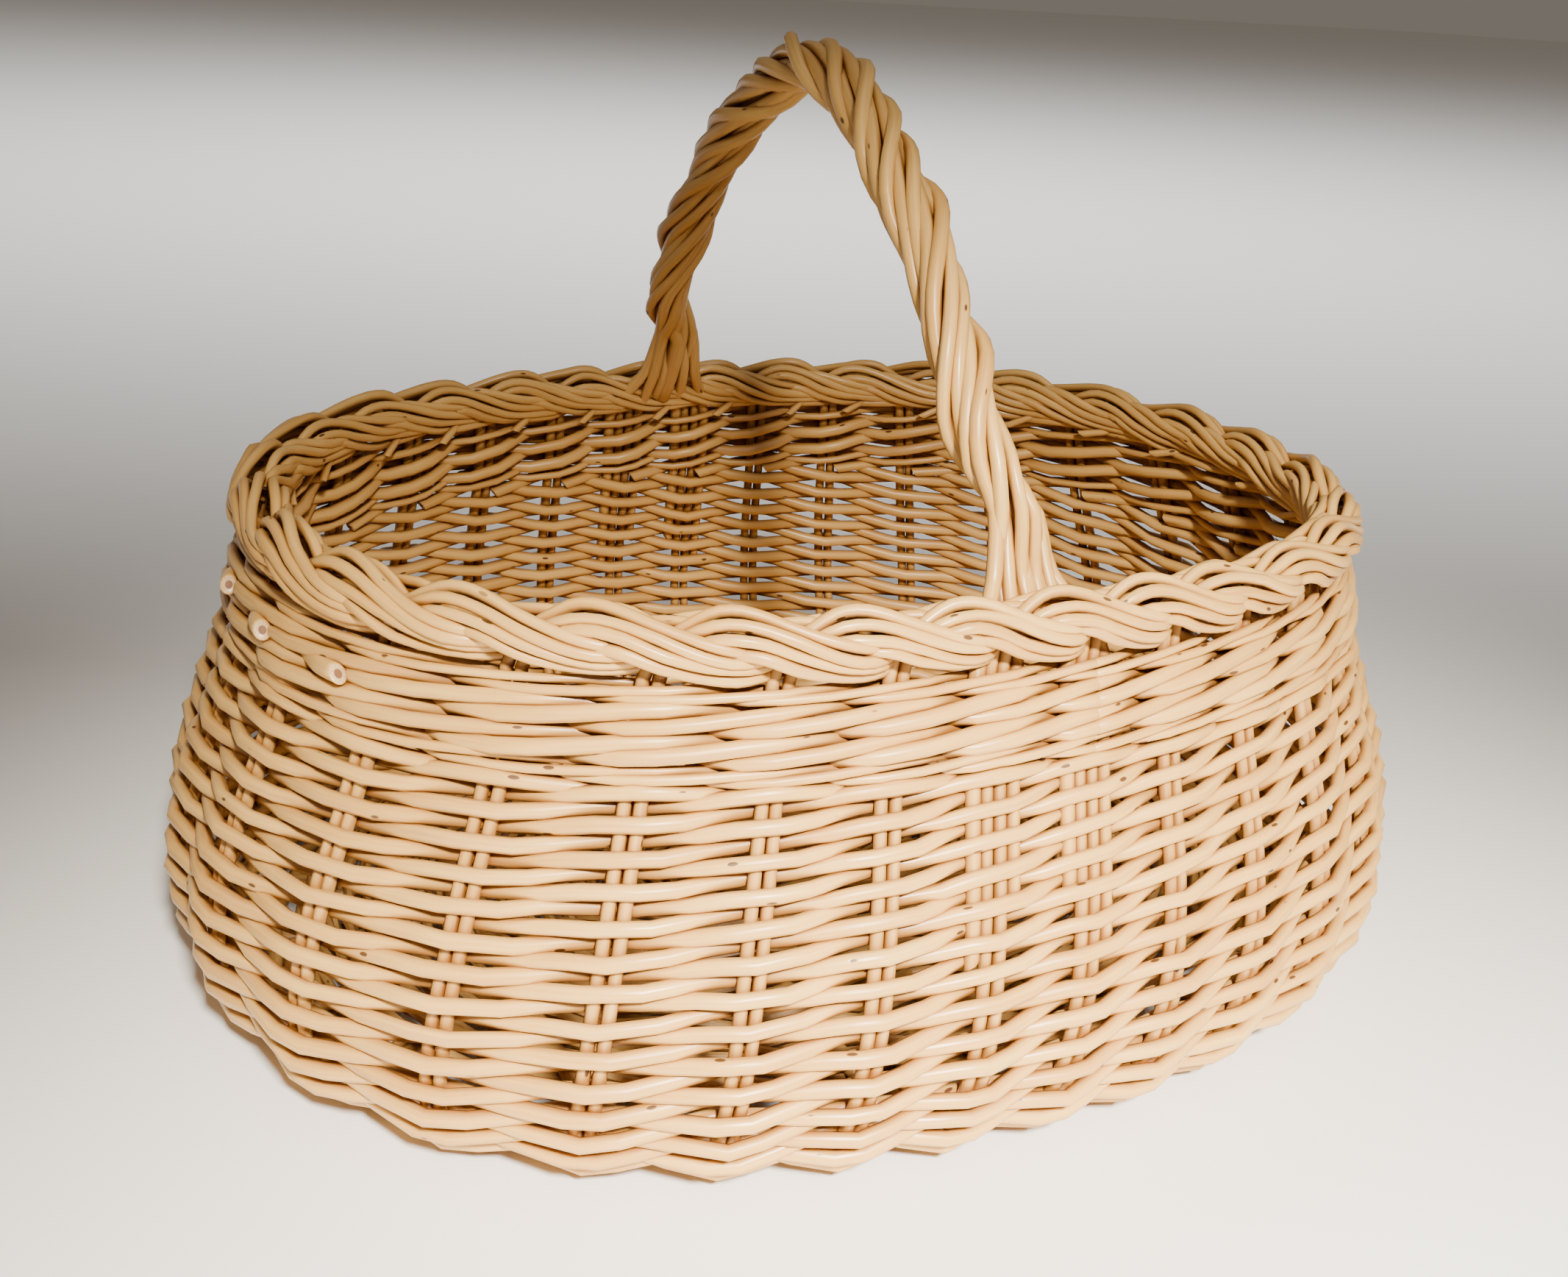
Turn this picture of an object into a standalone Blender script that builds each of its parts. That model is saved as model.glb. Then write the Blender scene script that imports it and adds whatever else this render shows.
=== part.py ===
"""Oval willow foraging basket with a rope-twisted bow handle.

Metres, +Z up. The origin is on the ground under the middle of the basket. X runs along the length,
and the handle arches over the basket in the plane X = 0.
"""
import math

import bmesh
import bpy
import numpy as np
from mathutils import Matrix, Vector

# Rim oval, measured along the middle of the rolled border
RIM_HALF_LENGTH = 0.200
RIM_HALF_WIDTH = 0.159
RIM_HEIGHT = 0.175
OVAL_POWER = 2.3

# Wall: the belly stands outside the rim by the flare, and the shares follow the wall from heel to rim
BELLY_FLARE = 0.033
FLARE_SHARES = ((0.02, 0.45), (0.07, 0.78), (0.15, 0.95), (0.24, 1.0), (0.36, 0.94), (0.50, 0.745),
                (0.64, 0.48), (0.78, 0.225), (0.90, 0.06), (1.0, 0.0))

# Stakes: pairs of rods that turn up out of the base and carry the whole wall
STAKE_COUNT = 30
STAKE_ROD = 0.0045
STAKE_TAIL = 0.034
END_SPREAD_SHARE = 0.16
STAKE_LEAN_SHARE = 0.09

# Side weave: thirty rows of 5 mm rods, in front of the stakes and behind them in turn, in three courses.
# Each course has its name and the rows at which it bends with the belly.
WEAVER = 0.005
WEAVE_SKIN = 0.0016
WEAVE_ROWS = 30
WEAVE_COURSES = (("side_weave_lower", (0, 2, 4.5, 7)), ("side_weave_middle", (7, 12.5, 18)),
                 ("side_weave_upper", (18, 30)))

# Waling above the weave: the height of each band, from the lowest to the highest
WALES = (("lower_thin_wale", 0.0055), ("lower_thick_wale", 0.0090),
         ("upper_thick_wale", 0.0090), ("upper_thin_wale", 0.0055))
WALE_DEPTH = 0.0055
STAKE_GAP = 0.0008

# Rolled border: a thick twisted edge with one strand for each stake pair
BORDER_RADIUS = 0.0100
BORDER_SWELL = 0.0012
BORDER_STARTS = 2
BORDER_STEPS = 4
BORDER_SIDES = 8

# Foot ring that the basket stands on, and the woven base above the stake tails
FOOT_HEIGHT = 0.0055
FOOT_WIDTH = 0.010
FOOT_INSET = 0.008
BASE_THICKNESS = 0.0100
BASE_INSET = 0.006
LONG_STICK = 0.0040
LONG_SPACING_SHARE = 0.2
LONG_STICKS = 3
CROSS_STICK = 0.0075
CROSS_SPACING_SHARE = 0.22
CROSS_STICKS = 7
STICK_END_INSET = 0.012

# Handle: a core bow with strands laid round it, all spread flat inside the border at both feet
BOW_HEIGHT = 0.325
BOW_SPRING_HEIGHT = 0.165
BOW_POWER = 1.6
CORE_ROD = 0.0054
STRAND_ROD = 0.0068
STRANDS = 4
STRAND_TURNS = 2
STRAND_SIDES = 6
ROPE_START = 0.047
ROPE_STEPS = 27
ROW_SPACING = 0.0074
ROW_RISE = 0.004
SPREAD_STEPS = 4
TAIL_DEPTH = 0.080
TAIL_STEPS = 5

# Running clearance between neighbours, and how far a cutter runs past what it cuts
CLEARANCE = 0.0003
OVERRUN = 0.002

# Finishes: peeled willow, a little darker for the thin waling and the shaded base
PALE_WILLOW = (0.84, 0.68, 0.48, 1.0)
WARM_WILLOW = (0.78, 0.60, 0.39, 1.0)
DEEP_WILLOW = (0.68, 0.49, 0.30, 1.0)
WILLOW_ROUGHNESS = 0.5

HALF_STAKE = STAKE_ROD / 2
TAIL_HEIGHT = FOOT_HEIGHT + CLEARANCE + HALF_STAKE
FLAT_HALF = STAKE_ROD + WEAVER / 2
LONG_STICK_SPACING = LONG_SPACING_SHARE * RIM_HALF_WIDTH
CROSS_STICK_SPACING = CROSS_SPACING_SHARE * RIM_HALF_LENGTH
CURVE_SAMPLES = 2400


def smooth_curve(points, per_span):
    """Points of a smooth curve that passes through the given ones."""
    pts = [np.array(p, float) for p in points]
    pts = [2 * pts[0] - pts[1]] + pts + [2 * pts[-1] - pts[-2]]
    out = []
    for a, b, c, d in zip(pts, pts[1:], pts[2:], pts[3:]):
        for step in range(per_span):
            t = step / per_span
            out.append(0.5 * (2 * b + (c - a) * t + (2 * a - 5 * b + 4 * c - d) * t ** 2
                              + (3 * b - a - 3 * c + d) * t ** 3))
    out.append(pts[-2])
    return np.array(out)


def running_length(points):
    """Distance along a line of points, from its start to each of them."""
    steps = np.linalg.norm(np.diff(points, axis=0), axis=1)
    return np.concatenate([[0.0], np.cumsum(steps)])


def rim_table():
    """The rim oval from the near side anticlockwise, with the distance along it."""
    turn = np.linspace(0.0, 2 * math.pi, CURVE_SAMPLES + 1)
    power = 2 / OVAL_POWER
    x = RIM_HALF_LENGTH * np.sign(np.sin(turn)) * np.abs(np.sin(turn)) ** power
    y = -RIM_HALF_WIDTH * np.sign(np.cos(turn)) * np.abs(np.cos(turn)) ** power
    points = np.stack([x, y], 1)
    return points, running_length(points)


def wall_table():
    """Flare and height of the stakes' middle line from the inner end of the tail up to the rim."""
    rise = RIM_HEIGHT - TAIL_HEIGHT
    points = [(-STAKE_TAIL, TAIL_HEIGHT), (-STAKE_TAIL / 2, TAIL_HEIGHT), (0.0, TAIL_HEIGHT)]
    points += [(flare * BELLY_FLARE, TAIL_HEIGHT + height * rise) for height, flare in FLARE_SHARES]
    curve = smooth_curve(points, CURVE_SAMPLES // len(points))
    return curve, running_length(curve)


RIM_POINTS, RIM_RUN = rim_table()
RIM_LENGTH = RIM_RUN[-1]
WALL_POINTS, WALL_RUN = wall_table()
WALL_LENGTH = WALL_RUN[-1]


def rim_at(share):
    """Point and outward direction of the rim oval at a share of its length."""
    run = (share % 1.0) * RIM_LENGTH
    x = np.interp(run, RIM_RUN, RIM_POINTS[:, 0])
    y = np.interp(run, RIM_RUN, RIM_POINTS[:, 1])
    out_x = math.copysign(abs(x) ** (OVAL_POWER - 1) / RIM_HALF_LENGTH ** OVAL_POWER, x)
    out_y = math.copysign(abs(y) ** (OVAL_POWER - 1) / RIM_HALF_WIDTH ** OVAL_POWER, y)
    return Vector((x, y, 0.0)), Vector((out_x, out_y, 0.0)).normalized()


def stake_share(index):
    """Where a stake stands round the rim: closer together on the sides than round the ends."""
    even = (index + 0.5) / STAKE_COUNT
    return even - END_SPREAD_SHARE * math.sin(4 * math.pi * even) / (4 * math.pi)


def wall_at(run):
    """Flare, height and outward direction of the wall's middle line at a distance along it."""
    reach = WALL_LENGTH / CURVE_SAMPLES
    flare = np.interp([run - reach, run, run + reach], WALL_RUN, WALL_POINTS[:, 0])
    height = np.interp([run - reach, run, run + reach], WALL_RUN, WALL_POINTS[:, 1])
    along = Vector((flare[2] - flare[0], height[2] - height[0])).normalized()
    return flare[1], height[1], Vector((along.y, -along.x))


def run_at_height(height):
    """Distance along the wall's middle line at which it reaches a height."""
    return float(np.interp(height, WALL_POINTS[:, 1], WALL_RUN))


def run_at_flare(flare):
    """Distance along the wall's middle line at which it first stands out by a flare."""
    first = int(np.argmax(WALL_POINTS[:, 0] >= flare))
    return float(WALL_RUN[first])


def wall_point(index, run, off=0.0, side=0.0):
    """Point by stake index, distance up the wall, depth off its middle line and step to one side."""
    flare, height, out = wall_at(run)
    lean = STAKE_LEAN_SHARE * (RIM_HEIGHT - height) / RIM_LENGTH
    rim, outward = rim_at(stake_share(index) - lean)
    sideways = Vector((-outward.y, outward.x, 0.0))
    point = rim + outward * (flare + off * out.x) + sideways * side
    point.z = height + off * out.y
    return point


def willow(name, colour):
    """A plain peeled-willow finish of its own for one piece."""
    material = bpy.data.materials.new(name)
    material.use_nodes = True
    shader = material.node_tree.nodes["Principled BSDF"]
    shader.inputs["Base Color"].default_value = colour
    shader.inputs["Roughness"].default_value = WILLOW_ROUGHNESS
    shader.inputs["Metallic"].default_value = 0.0
    return material


def add_object(name, bm, colour):
    """Link a finished mesh as one named, smooth-shaded object."""
    bmesh.ops.recalc_face_normals(bm, faces=bm.faces)
    mesh = bpy.data.meshes.new(name)
    bm.to_mesh(mesh)
    bm.free()
    mesh.materials.append(willow(name + "_willow", colour))
    mesh.shade_smooth()
    mesh.set_sharp_from_angle(angle=math.radians(50))
    piece = bpy.data.objects.new(name, mesh)
    bpy.context.scene.collection.objects.link(piece)
    return piece


def swept(rings, closed):
    """Skin between rings of points: a closed hoop, or a rod with both ends filled."""
    bm = bmesh.new()
    rows = [[bm.verts.new(point) for point in ring] for ring in rings]
    if not closed:
        bm.faces.new(list(reversed(rows[0])))
        bm.faces.new(rows[-1])
    spans = zip(rows, rows[1:] + rows[:1]) if closed else zip(rows, rows[1:])
    for low, high in spans:
        for k in range(len(low)):
            after = (k + 1) % len(low)
            bm.faces.new((low[k], low[after], high[after], high[k]))
    return bm


def round_rod(path, radius, sides):
    """Rings of a round rod along a path, turned as little as possible from ring to ring."""
    points = [Vector(p) for p in path]
    rings = []
    across = Vector((1.0, 0.0, 0.0))
    for i, point in enumerate(points):
        along = (points[min(i + 1, len(points) - 1)] - points[max(i - 1, 0)]).normalized()
        across = (across - along * across.dot(along)).normalized()
        other = along.cross(across)
        turns = [2 * math.pi * k / sides for k in range(sides)]
        rings.append([point + (across * math.cos(a) + other * math.sin(a)) * radius for a in turns])
    return rings


STAKE_TOP = run_at_height(RIM_HEIGHT - BORDER_RADIUS - BORDER_SWELL - CLEARANCE)
WEAVE_TOP = STAKE_TOP - STAKE_GAP - sum(height for _, height in WALES)
WEAVE_LOW = run_at_flare(FOOT_WIDTH / 2 - FOOT_INSET + 2 * CLEARANCE)
WEAVE_BENDS = sorted({row for _, rows in WEAVE_COURSES for row in rows})
WEAVE_LEVELS = [WEAVE_LOW + (WEAVE_TOP - WEAVE_LOW) * row / WEAVE_ROWS for row in WEAVE_BENDS]
WALE_LEVELS = [WEAVE_TOP + sum(height for _, height in WALES[:order + 1]) for order in range(len(WALES))]


def stake_pair(index):
    """Two rods side by side, from the tail under the base up to the underside of the border."""
    rings = []
    for run in [0.0, STAKE_TAIL] + WEAVE_LEVELS + WALE_LEVELS + [STAKE_TOP]:
        section = ((-STAKE_ROD, 0), (-HALF_STAKE, -HALF_STAKE), (HALF_STAKE, -HALF_STAKE),
                   (STAKE_ROD, 0), (HALF_STAKE, HALF_STAKE), (-HALF_STAKE, HALF_STAKE))
        rings.append([wall_point(index, run, off, side) for side, off in section])
    bm = swept(rings, closed=False)
    bmesh.ops.recalc_face_normals(bm, faces=bm.faces)
    bmesh.ops.triangulate(bm, faces=bm.faces)
    return bm


def weave_run(row, course):
    """Distance up the wall of a row of a course, a half clearance short of the course's two edges."""
    run = WEAVE_LOW + (WEAVE_TOP - WEAVE_LOW) * row / WEAVE_ROWS
    return run + CLEARANCE / 2 * ((row == course[0]) - (row == course[-1]))


def course_point(index, row, course, off):
    """Point on a face of a course, straight from bend to bend as the stakes are."""
    above = next(k for k in range(1, len(course)) if row <= course[k])
    low, high = course[above - 1], course[above]
    share = (row - low) / (high - low)
    start = wall_point(index, weave_run(low, course), off)
    return start.lerp(wall_point(index, weave_run(high, course), off), share)


def weave_column(bm, half, course, hand):
    """Corners up one face of a course, at a stake pair or half way to the next one.

    Rods that pass in front of a stake pair stand out on the odd rows, and those behind it on the even rows.
    """
    first, last = course[0], course[-1]
    rows = list(range(first, last + 1))
    if half % 2:
        rows = [first] + [row + 0.5 for row in rows[:-1]] + [last]
        depths = [WEAVER / 2] * len(rows)
    else:
        crest, skin = HALF_STAKE + CLEARANCE + WEAVER, HALF_STAKE + CLEARANCE + WEAVE_SKIN
        depths = [crest if (row % 2 == 1) == (hand > 0) else skin for row in rows]
    return [bm.verts.new(course_point(half / 2, row, course, hand * depth)) for row, depth in zip(rows, depths)]


def weave_face(bm, columns):
    """Skin over one face of a course, whose rods rise by one row from each stake pair to the next."""
    for half, column in enumerate(columns):
        after = columns[(half + 1) % len(columns)]
        if half % 2:
            bm.faces.new((column[-2], column[-1], after[-1]))
            for k in range(len(after) - 1):
                bm.faces.new((column[k], column[k + 1], after[k + 1], after[k]))
        else:
            bm.faces.new((column[0], after[1], after[0]))
            for k in range(len(column) - 1):
                bm.faces.new((column[k], column[k + 1], after[k + 2], after[k + 1]))


def weave_slot(bm, index, course):
    """Walls of the slot in which a stake pair stands, as rings of four corners."""
    side, off = STAKE_ROD + CLEARANCE, HALF_STAKE + CLEARANCE
    corners = ((-side, off), (side, off), (side, -off), (-side, -off))
    rings = [[bm.verts.new(wall_point(index, weave_run(row, course), off, side)) for side, off in corners]
             for row in course]
    for low, high in zip(rings, rings[1:]):
        for k in range(4):
            after = (k + 1) % 4
            bm.faces.new((low[k], low[after], high[after], high[k]))
    return rings


def side_weave(course):
    """One course of the side weave, folded round every stake pair and joined half way between them."""
    bm = bmesh.new()
    front, back = [[weave_column(bm, half, course, hand) for half in range(2 * STAKE_COUNT)] for hand in (1, -1)]
    weave_face(bm, front)
    weave_face(bm, back)
    for index in range(STAKE_COUNT):
        slot = weave_slot(bm, index, course)
        before, here, after = 2 * index - 1, 2 * index, 2 * index + 1
        for end in (0, -1):
            front_left, front_right, back_right, back_left = slot[end]
            bm.faces.new((front[before][end], front[here][end], front[after][end], front_right, front_left))
            bm.faces.new((back[before][end], back_left, back_right, back[after][end], back[here][end]))
            bm.faces.new((front[before][end], front_left, back_left, back[before][end]))
            bm.faces.new((front[after][end], back[after][end], back_right, front_right))
    bmesh.ops.recalc_face_normals(bm, faces=bm.faces)
    bmesh.ops.triangulate(bm, faces=bm.faces)
    return bm


def wale(order, low, high):
    """One waling band with a rounded face, in front of two stake pairs and behind one."""
    swing = HALF_STAKE + CLEARANCE + WALE_DEPTH / 2
    low += CLEARANCE / 2
    high -= CLEARANCE / 2
    quarter = (high - low) / 4
    section = ((0, low), (1, low + quarter), (1, high - quarter), (0, high),
               (-1, high - quarter), (-1, low + quarter))
    rings = []
    for index in range(STAKE_COUNT):
        middle = -swing if (index + order) % 3 == 0 else swing
        for side in (-FLAT_HALF, FLAT_HALF):
            rings.append([wall_point(index, run, middle + bulge * WALE_DEPTH / 2, side)
                          for bulge, run in section])
    return swept(rings, closed=True)


def rolled_border():
    """The twisted edge: its strands rise inside, pass over the top and come down outside."""
    rings = []
    for step in range(STAKE_COUNT * BORDER_STEPS):
        index = step / BORDER_STEPS
        rim, outward = rim_at(stake_share(index))
        ring = []
        for k in range(BORDER_SIDES):
            turn = 2 * math.pi * k / BORDER_SIDES
            lobe = BORDER_STARTS * (turn + math.pi / 2) + 2 * math.pi * index
            radius = BORDER_RADIUS + BORDER_SWELL * math.cos(lobe)
            point = rim + outward * (radius * math.cos(turn))
            point.z = RIM_HEIGHT + radius * math.sin(turn)
            ring.append(point)
        rings.append(ring)
    return swept(rings, closed=True)


def foot_wale():
    """The flat-bottomed ring under the stake tails, on which the basket stands."""
    half = FOOT_WIDTH / 2
    section = ((-half, 0), (half, 0), (half, FOOT_HEIGHT / 2), (half / 2, FOOT_HEIGHT),
               (-half / 2, FOOT_HEIGHT), (-half, FOOT_HEIGHT / 2))
    rings = []
    for step in range(STAKE_COUNT * 2):
        rim, outward = rim_at(stake_share(step / 2))
        ring = []
        for off, height in section:
            point = rim + outward * (off - FOOT_INSET)
            point.z = height
            ring.append(point)
        rings.append(ring)
    return swept(rings, closed=True)


def oval_half_width(x):
    """Half width of the rim oval at a place along its length."""
    return RIM_HALF_WIDTH * (1 - abs(x / RIM_HALF_LENGTH) ** OVAL_POWER) ** (1 / OVAL_POWER)


def oval_half_length(y):
    """Half length of the rim oval at a place across its width."""
    return RIM_HALF_LENGTH * (1 - abs(y / RIM_HALF_WIDTH) ** OVAL_POWER) ** (1 / OVAL_POWER)


BASE_LOW = TAIL_HEIGHT + HALF_STAKE + CLEARANCE
STICK_MIDDLE = BASE_LOW + CLEARANCE + CROSS_STICK / 2


def stick_places(count, spacing):
    """Even places either side of the middle."""
    return [(k - (count - 1) / 2) * spacing for k in range(count)]


def box(low, high):
    """A plain box between two corners, for cutting."""
    bm = bmesh.new()
    size = [b - a for a, b in zip(low, high)]
    middle = [(a + b) / 2 for a, b in zip(low, high)]
    bmesh.ops.create_cube(bm, size=1.0, matrix=Matrix.Translation(middle) @ Matrix.Diagonal((*size, 1.0)))
    return bm


def stick(half_length, place, thickness, along_x):
    """A six-sided stick of the base, lying along X or along Y."""
    ends = (-half_length, half_length)
    path = [(end, place, STICK_MIDDLE) if along_x else (place, end, STICK_MIDDLE) for end in ends]
    rings = []
    for end in path:
        ring = []
        for k in range(6):
            turn = 2 * math.pi * k / 6
            side, up = thickness / 2 * math.sin(turn), thickness / 2 * math.cos(turn)
            ring.append(Vector(end) + (Vector((0, side, up)) if along_x else Vector((side, 0, up))))
        rings.append(ring)
    return swept(rings, closed=False)


def cut_with(piece, boxes):
    """Cut boxes out of a piece with Boolean modifiers applied in turn."""
    for number, bm in enumerate(boxes):
        cutter = add_object(f"{piece.name}_cutter_{number}", bm, DEEP_WILLOW)
        modifier = piece.modifiers.new("cut", "BOOLEAN")
        modifier.operation = "DIFFERENCE"
        modifier.object = cutter
        graph = bpy.context.evaluated_depsgraph_get()
        result = bpy.data.meshes.new_from_object(piece.evaluated_get(graph))
        piece.modifiers.clear()
        piece.data = result
        bpy.data.objects.remove(cutter)


def base_sticks():
    """Cross sticks with slits, and the long sticks that are pushed through them."""
    half_slit = LONG_STICK / 2 + CLEARANCE
    slits = []
    for y in stick_places(LONG_STICKS, LONG_STICK_SPACING):
        low = (-RIM_HALF_LENGTH, y - half_slit, STICK_MIDDLE - half_slit)
        high = (RIM_HALF_LENGTH, y + half_slit, STICK_MIDDLE + half_slit)
        slits.append((low, high))
    for number, x in enumerate(stick_places(CROSS_STICKS, CROSS_STICK_SPACING), 1):
        length = oval_half_width(x) - STICK_END_INSET
        bm = stick(length, x, CROSS_STICK, along_x=False)
        piece = add_object(f"base_cross_stick_{number}", bm, DEEP_WILLOW)
        cut_with(piece, [box(low, high) for low, high in slits])
    for number, y in enumerate(stick_places(LONG_STICKS, LONG_STICK_SPACING), 1):
        length = oval_half_length(y) - STICK_END_INSET
        bm = stick(length, y, LONG_STICK, along_x=True)
        add_object(f"base_long_stick_{number}", bm, DEEP_WILLOW)


def base_weave():
    """The woven oval of the base, open underneath where the sticks run through it."""
    rings = []
    for height in (BASE_LOW, BASE_LOW + BASE_THICKNESS):
        ring = []
        for step in range(STAKE_COUNT * 2):
            rim, outward = rim_at(step / (STAKE_COUNT * 2))
            point = rim - outward * BASE_INSET
            point.z = height
            ring.append(point)
        rings.append(ring)
    piece = add_object("base_weave", swept(rings, closed=False), WARM_WILLOW)
    channels = []
    for x in stick_places(CROSS_STICKS, CROSS_STICK_SPACING):
        half = CROSS_STICK / 2 + CLEARANCE
        length = oval_half_width(x) - STICK_END_INSET + CLEARANCE
        channels.append(box((x - half, -length, BASE_LOW - OVERRUN), (x + half, length, STICK_MIDDLE + half)))
    for y in stick_places(LONG_STICKS, LONG_STICK_SPACING):
        half = LONG_STICK / 2 + CLEARANCE
        length = oval_half_length(y) - STICK_END_INSET + CLEARANCE
        channels.append(box((-length, y - half, BASE_LOW - OVERRUN), (length, y + half, STICK_MIDDLE + half)))
    cut_with(piece, channels)


ROW_OUT = RIM_HALF_WIDTH - BORDER_RADIUS - BORDER_SWELL - STRAND_ROD / 2 - 2 * CLEARANCE
ROPE_RADIUS = CORE_ROD / 2 + CLEARANCE + STRAND_ROD / 2
ROW_HEIGHT = RIM_HEIGHT + BORDER_RADIUS + BORDER_SWELL + ROW_RISE


def bow_line():
    """Middle line of the bow from the near spring over the top to the far one."""
    half_turns = 24
    points = []
    for k in range(half_turns + 1):
        turn = math.pi * k / half_turns
        across = abs(math.cos(turn)) ** (2 / BOW_POWER)
        rise = math.sin(turn) ** (2 / BOW_POWER) if 0 < k < half_turns else 0.0
        points.append((0.0, -math.copysign(across, math.cos(turn)) * ROW_OUT,
                       BOW_SPRING_HEIGHT + (BOW_HEIGHT - BOW_SPRING_HEIGHT) * rise))
    return smooth_curve(points, 16)


BOW = bow_line()
BOW_RUN = running_length(BOW)
BOW_LENGTH = BOW_RUN[-1]


def bow_at(run):
    """Point of the bow's middle line at a distance along it, with its outward direction."""
    reach = BOW_LENGTH / 100
    near, here, far = [Vector([np.interp(r, BOW_RUN, BOW[:, axis]) for axis in range(3)])
                       for r in (run - reach, run, run + reach)]
    along = (far - near).normalized()
    return here, Vector((0.0, -along.z, along.y))


def strand_turn(strand, share):
    """Angle of a strand round the core at a share of the rope's length."""
    return 2 * math.pi * (strand / STRANDS - STRAND_TURNS * share) + math.pi / 2


def strand_slot(strand):
    """Sideways place of a strand in the flat row at the feet, with the core in the middle of the row."""
    places = [math.cos(strand_turn(k, 0.0)) for k in range(STRANDS)]
    order = sorted(range(STRANDS), key=lambda k: (round(places[k], 6), k))
    half = STRANDS // 2
    rank = order.index(strand) - half
    return (rank + (1 if rank >= 0 else 0)) * ROW_SPACING


def foot_path(slot, rope_end):
    """Way of a rod from the rope's near end down inside the border and the wall."""
    path = []
    for step in range(1, SPREAD_STEPS + 1):
        share = step / SPREAD_STEPS
        x = rope_end.x + (slot - rope_end.x) * min(1.0, 2 * share)
        y = rope_end.y + (-ROW_OUT - rope_end.y) * max(0.0, 2 * share - 1)
        path.append(Vector((x, y, rope_end.z + (ROW_HEIGHT - rope_end.z) * share)))
    under = RIM_HEIGHT - BORDER_RADIUS - BORDER_SWELL
    path.append(Vector((slot, -ROW_OUT, under)))
    for step in range(1, TAIL_STEPS + 1):
        height = under - STRAND_ROD - (TAIL_DEPTH - STRAND_ROD) * (step - 1) / (TAIL_STEPS - 1)
        flare, _, out = wall_at(run_at_height(height))
        inward = (HALF_STAKE + CLEARANCE + WALE_DEPTH + STRAND_ROD / 2 + 2 * CLEARANCE) / out.x
        path.append(Vector((slot, -oval_half_width(slot) - flare + inward, height)))
    return path


def mirrored(path):
    """The same way on the far side of the basket."""
    return [Vector((p.x, -p.y, p.z)) for p in path]


def with_feet(rope, slot, thickness):
    """A rod of the handle along the rope, with its two feet in the same place of the row."""
    near = foot_path(slot, rope[0])
    far = mirrored(foot_path(slot, mirrored(rope)[-1]))
    path = list(reversed(near)) + rope + far
    return swept(round_rod(path, thickness / 2, STRAND_SIDES), closed=False)


def handle_strand(strand):
    """One strand: up from the near foot, round the core over the bow and down to the far foot."""
    rope = []
    for step in range(ROPE_STEPS + 1):
        share = step / ROPE_STEPS
        middle, outward = bow_at(ROPE_START + (BOW_LENGTH - 2 * ROPE_START) * share)
        turn = strand_turn(strand, share)
        rope.append(middle + (Vector((math.cos(turn), 0, 0)) + outward * math.sin(turn)) * ROPE_RADIUS)
    return with_feet(rope, strand_slot(strand), STRAND_ROD)


def handle_core():
    """The bow rod that the strands are laid round, down to the middle of both feet."""
    steps = ROPE_STEPS
    rope = [bow_at(ROPE_START + (BOW_LENGTH - 2 * ROPE_START) * k / steps)[0] for k in range(steps + 1)]
    return with_feet(rope, 0.0, CORE_ROD)


def build_wall():
    """Stake pairs, the side weave and the waling, from the heel to the gap under the border."""
    for index in range(STAKE_COUNT):
        add_object(f"stake_pair_{index + 1:02d}", stake_pair(index), PALE_WILLOW)
    lows = [WEAVE_TOP] + WALE_LEVELS
    for order, (name, _) in enumerate(WALES):
        add_object(name, wale(order, lows[order], lows[order + 1]), WARM_WILLOW)
    for name, course in WEAVE_COURSES:
        add_object(name, side_weave(course), PALE_WILLOW)


def build_handle():
    """The core and the strands of the bow handle."""
    add_object("handle_core", handle_core(), DEEP_WILLOW)
    for strand in range(STRANDS):
        add_object(f"handle_strand_{strand + 1}", handle_strand(strand), PALE_WILLOW)


def main():
    """Clear the scene and build the basket from the ground up."""
    for old in list(bpy.data.objects):
        bpy.data.objects.remove(old)
    add_object("foot_wale", foot_wale(), WARM_WILLOW)
    base_weave()
    base_sticks()
    build_wall()
    add_object("rolled_border", rolled_border(), PALE_WILLOW)
    build_handle()


main()
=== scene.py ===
"""Dressing of an oval willow foraging basket with a rope-twisted bow handle.

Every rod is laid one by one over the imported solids: stakes in pairs, the French-randed side weave,
four bands of waling, the rolled border, the base and the bow handle. Metres, +Z up, the origin on the
ground under the middle of the basket, the length along X and the handle across it. The handle's rope
leans a centimetre towards -X.
"""

import logging
import math
from collections.abc import Callable
from dataclasses import dataclass, field
from enum import Enum

import bmesh
import bpy
import numpy as np
from mathutils import Matrix, Vector


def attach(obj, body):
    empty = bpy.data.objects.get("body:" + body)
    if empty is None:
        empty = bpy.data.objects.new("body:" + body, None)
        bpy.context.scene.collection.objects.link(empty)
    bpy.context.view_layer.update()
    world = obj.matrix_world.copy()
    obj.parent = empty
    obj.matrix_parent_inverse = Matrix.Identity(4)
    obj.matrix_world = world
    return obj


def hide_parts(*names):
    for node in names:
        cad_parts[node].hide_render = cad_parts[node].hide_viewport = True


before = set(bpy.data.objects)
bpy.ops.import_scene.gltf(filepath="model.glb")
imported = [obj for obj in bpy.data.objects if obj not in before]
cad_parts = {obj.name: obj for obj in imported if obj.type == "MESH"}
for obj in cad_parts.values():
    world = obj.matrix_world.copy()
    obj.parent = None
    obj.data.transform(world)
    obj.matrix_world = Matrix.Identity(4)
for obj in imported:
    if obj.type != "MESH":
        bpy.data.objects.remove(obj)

log = logging.getLogger("basket")
SMOOTH_ANGLE = 55
MILLIMETRES = 1000
FAR_SIDE = np.array([1, -1, 1])

Colour = tuple[float, float, float]
Knots = tuple[tuple[float, ...], ...]


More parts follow.
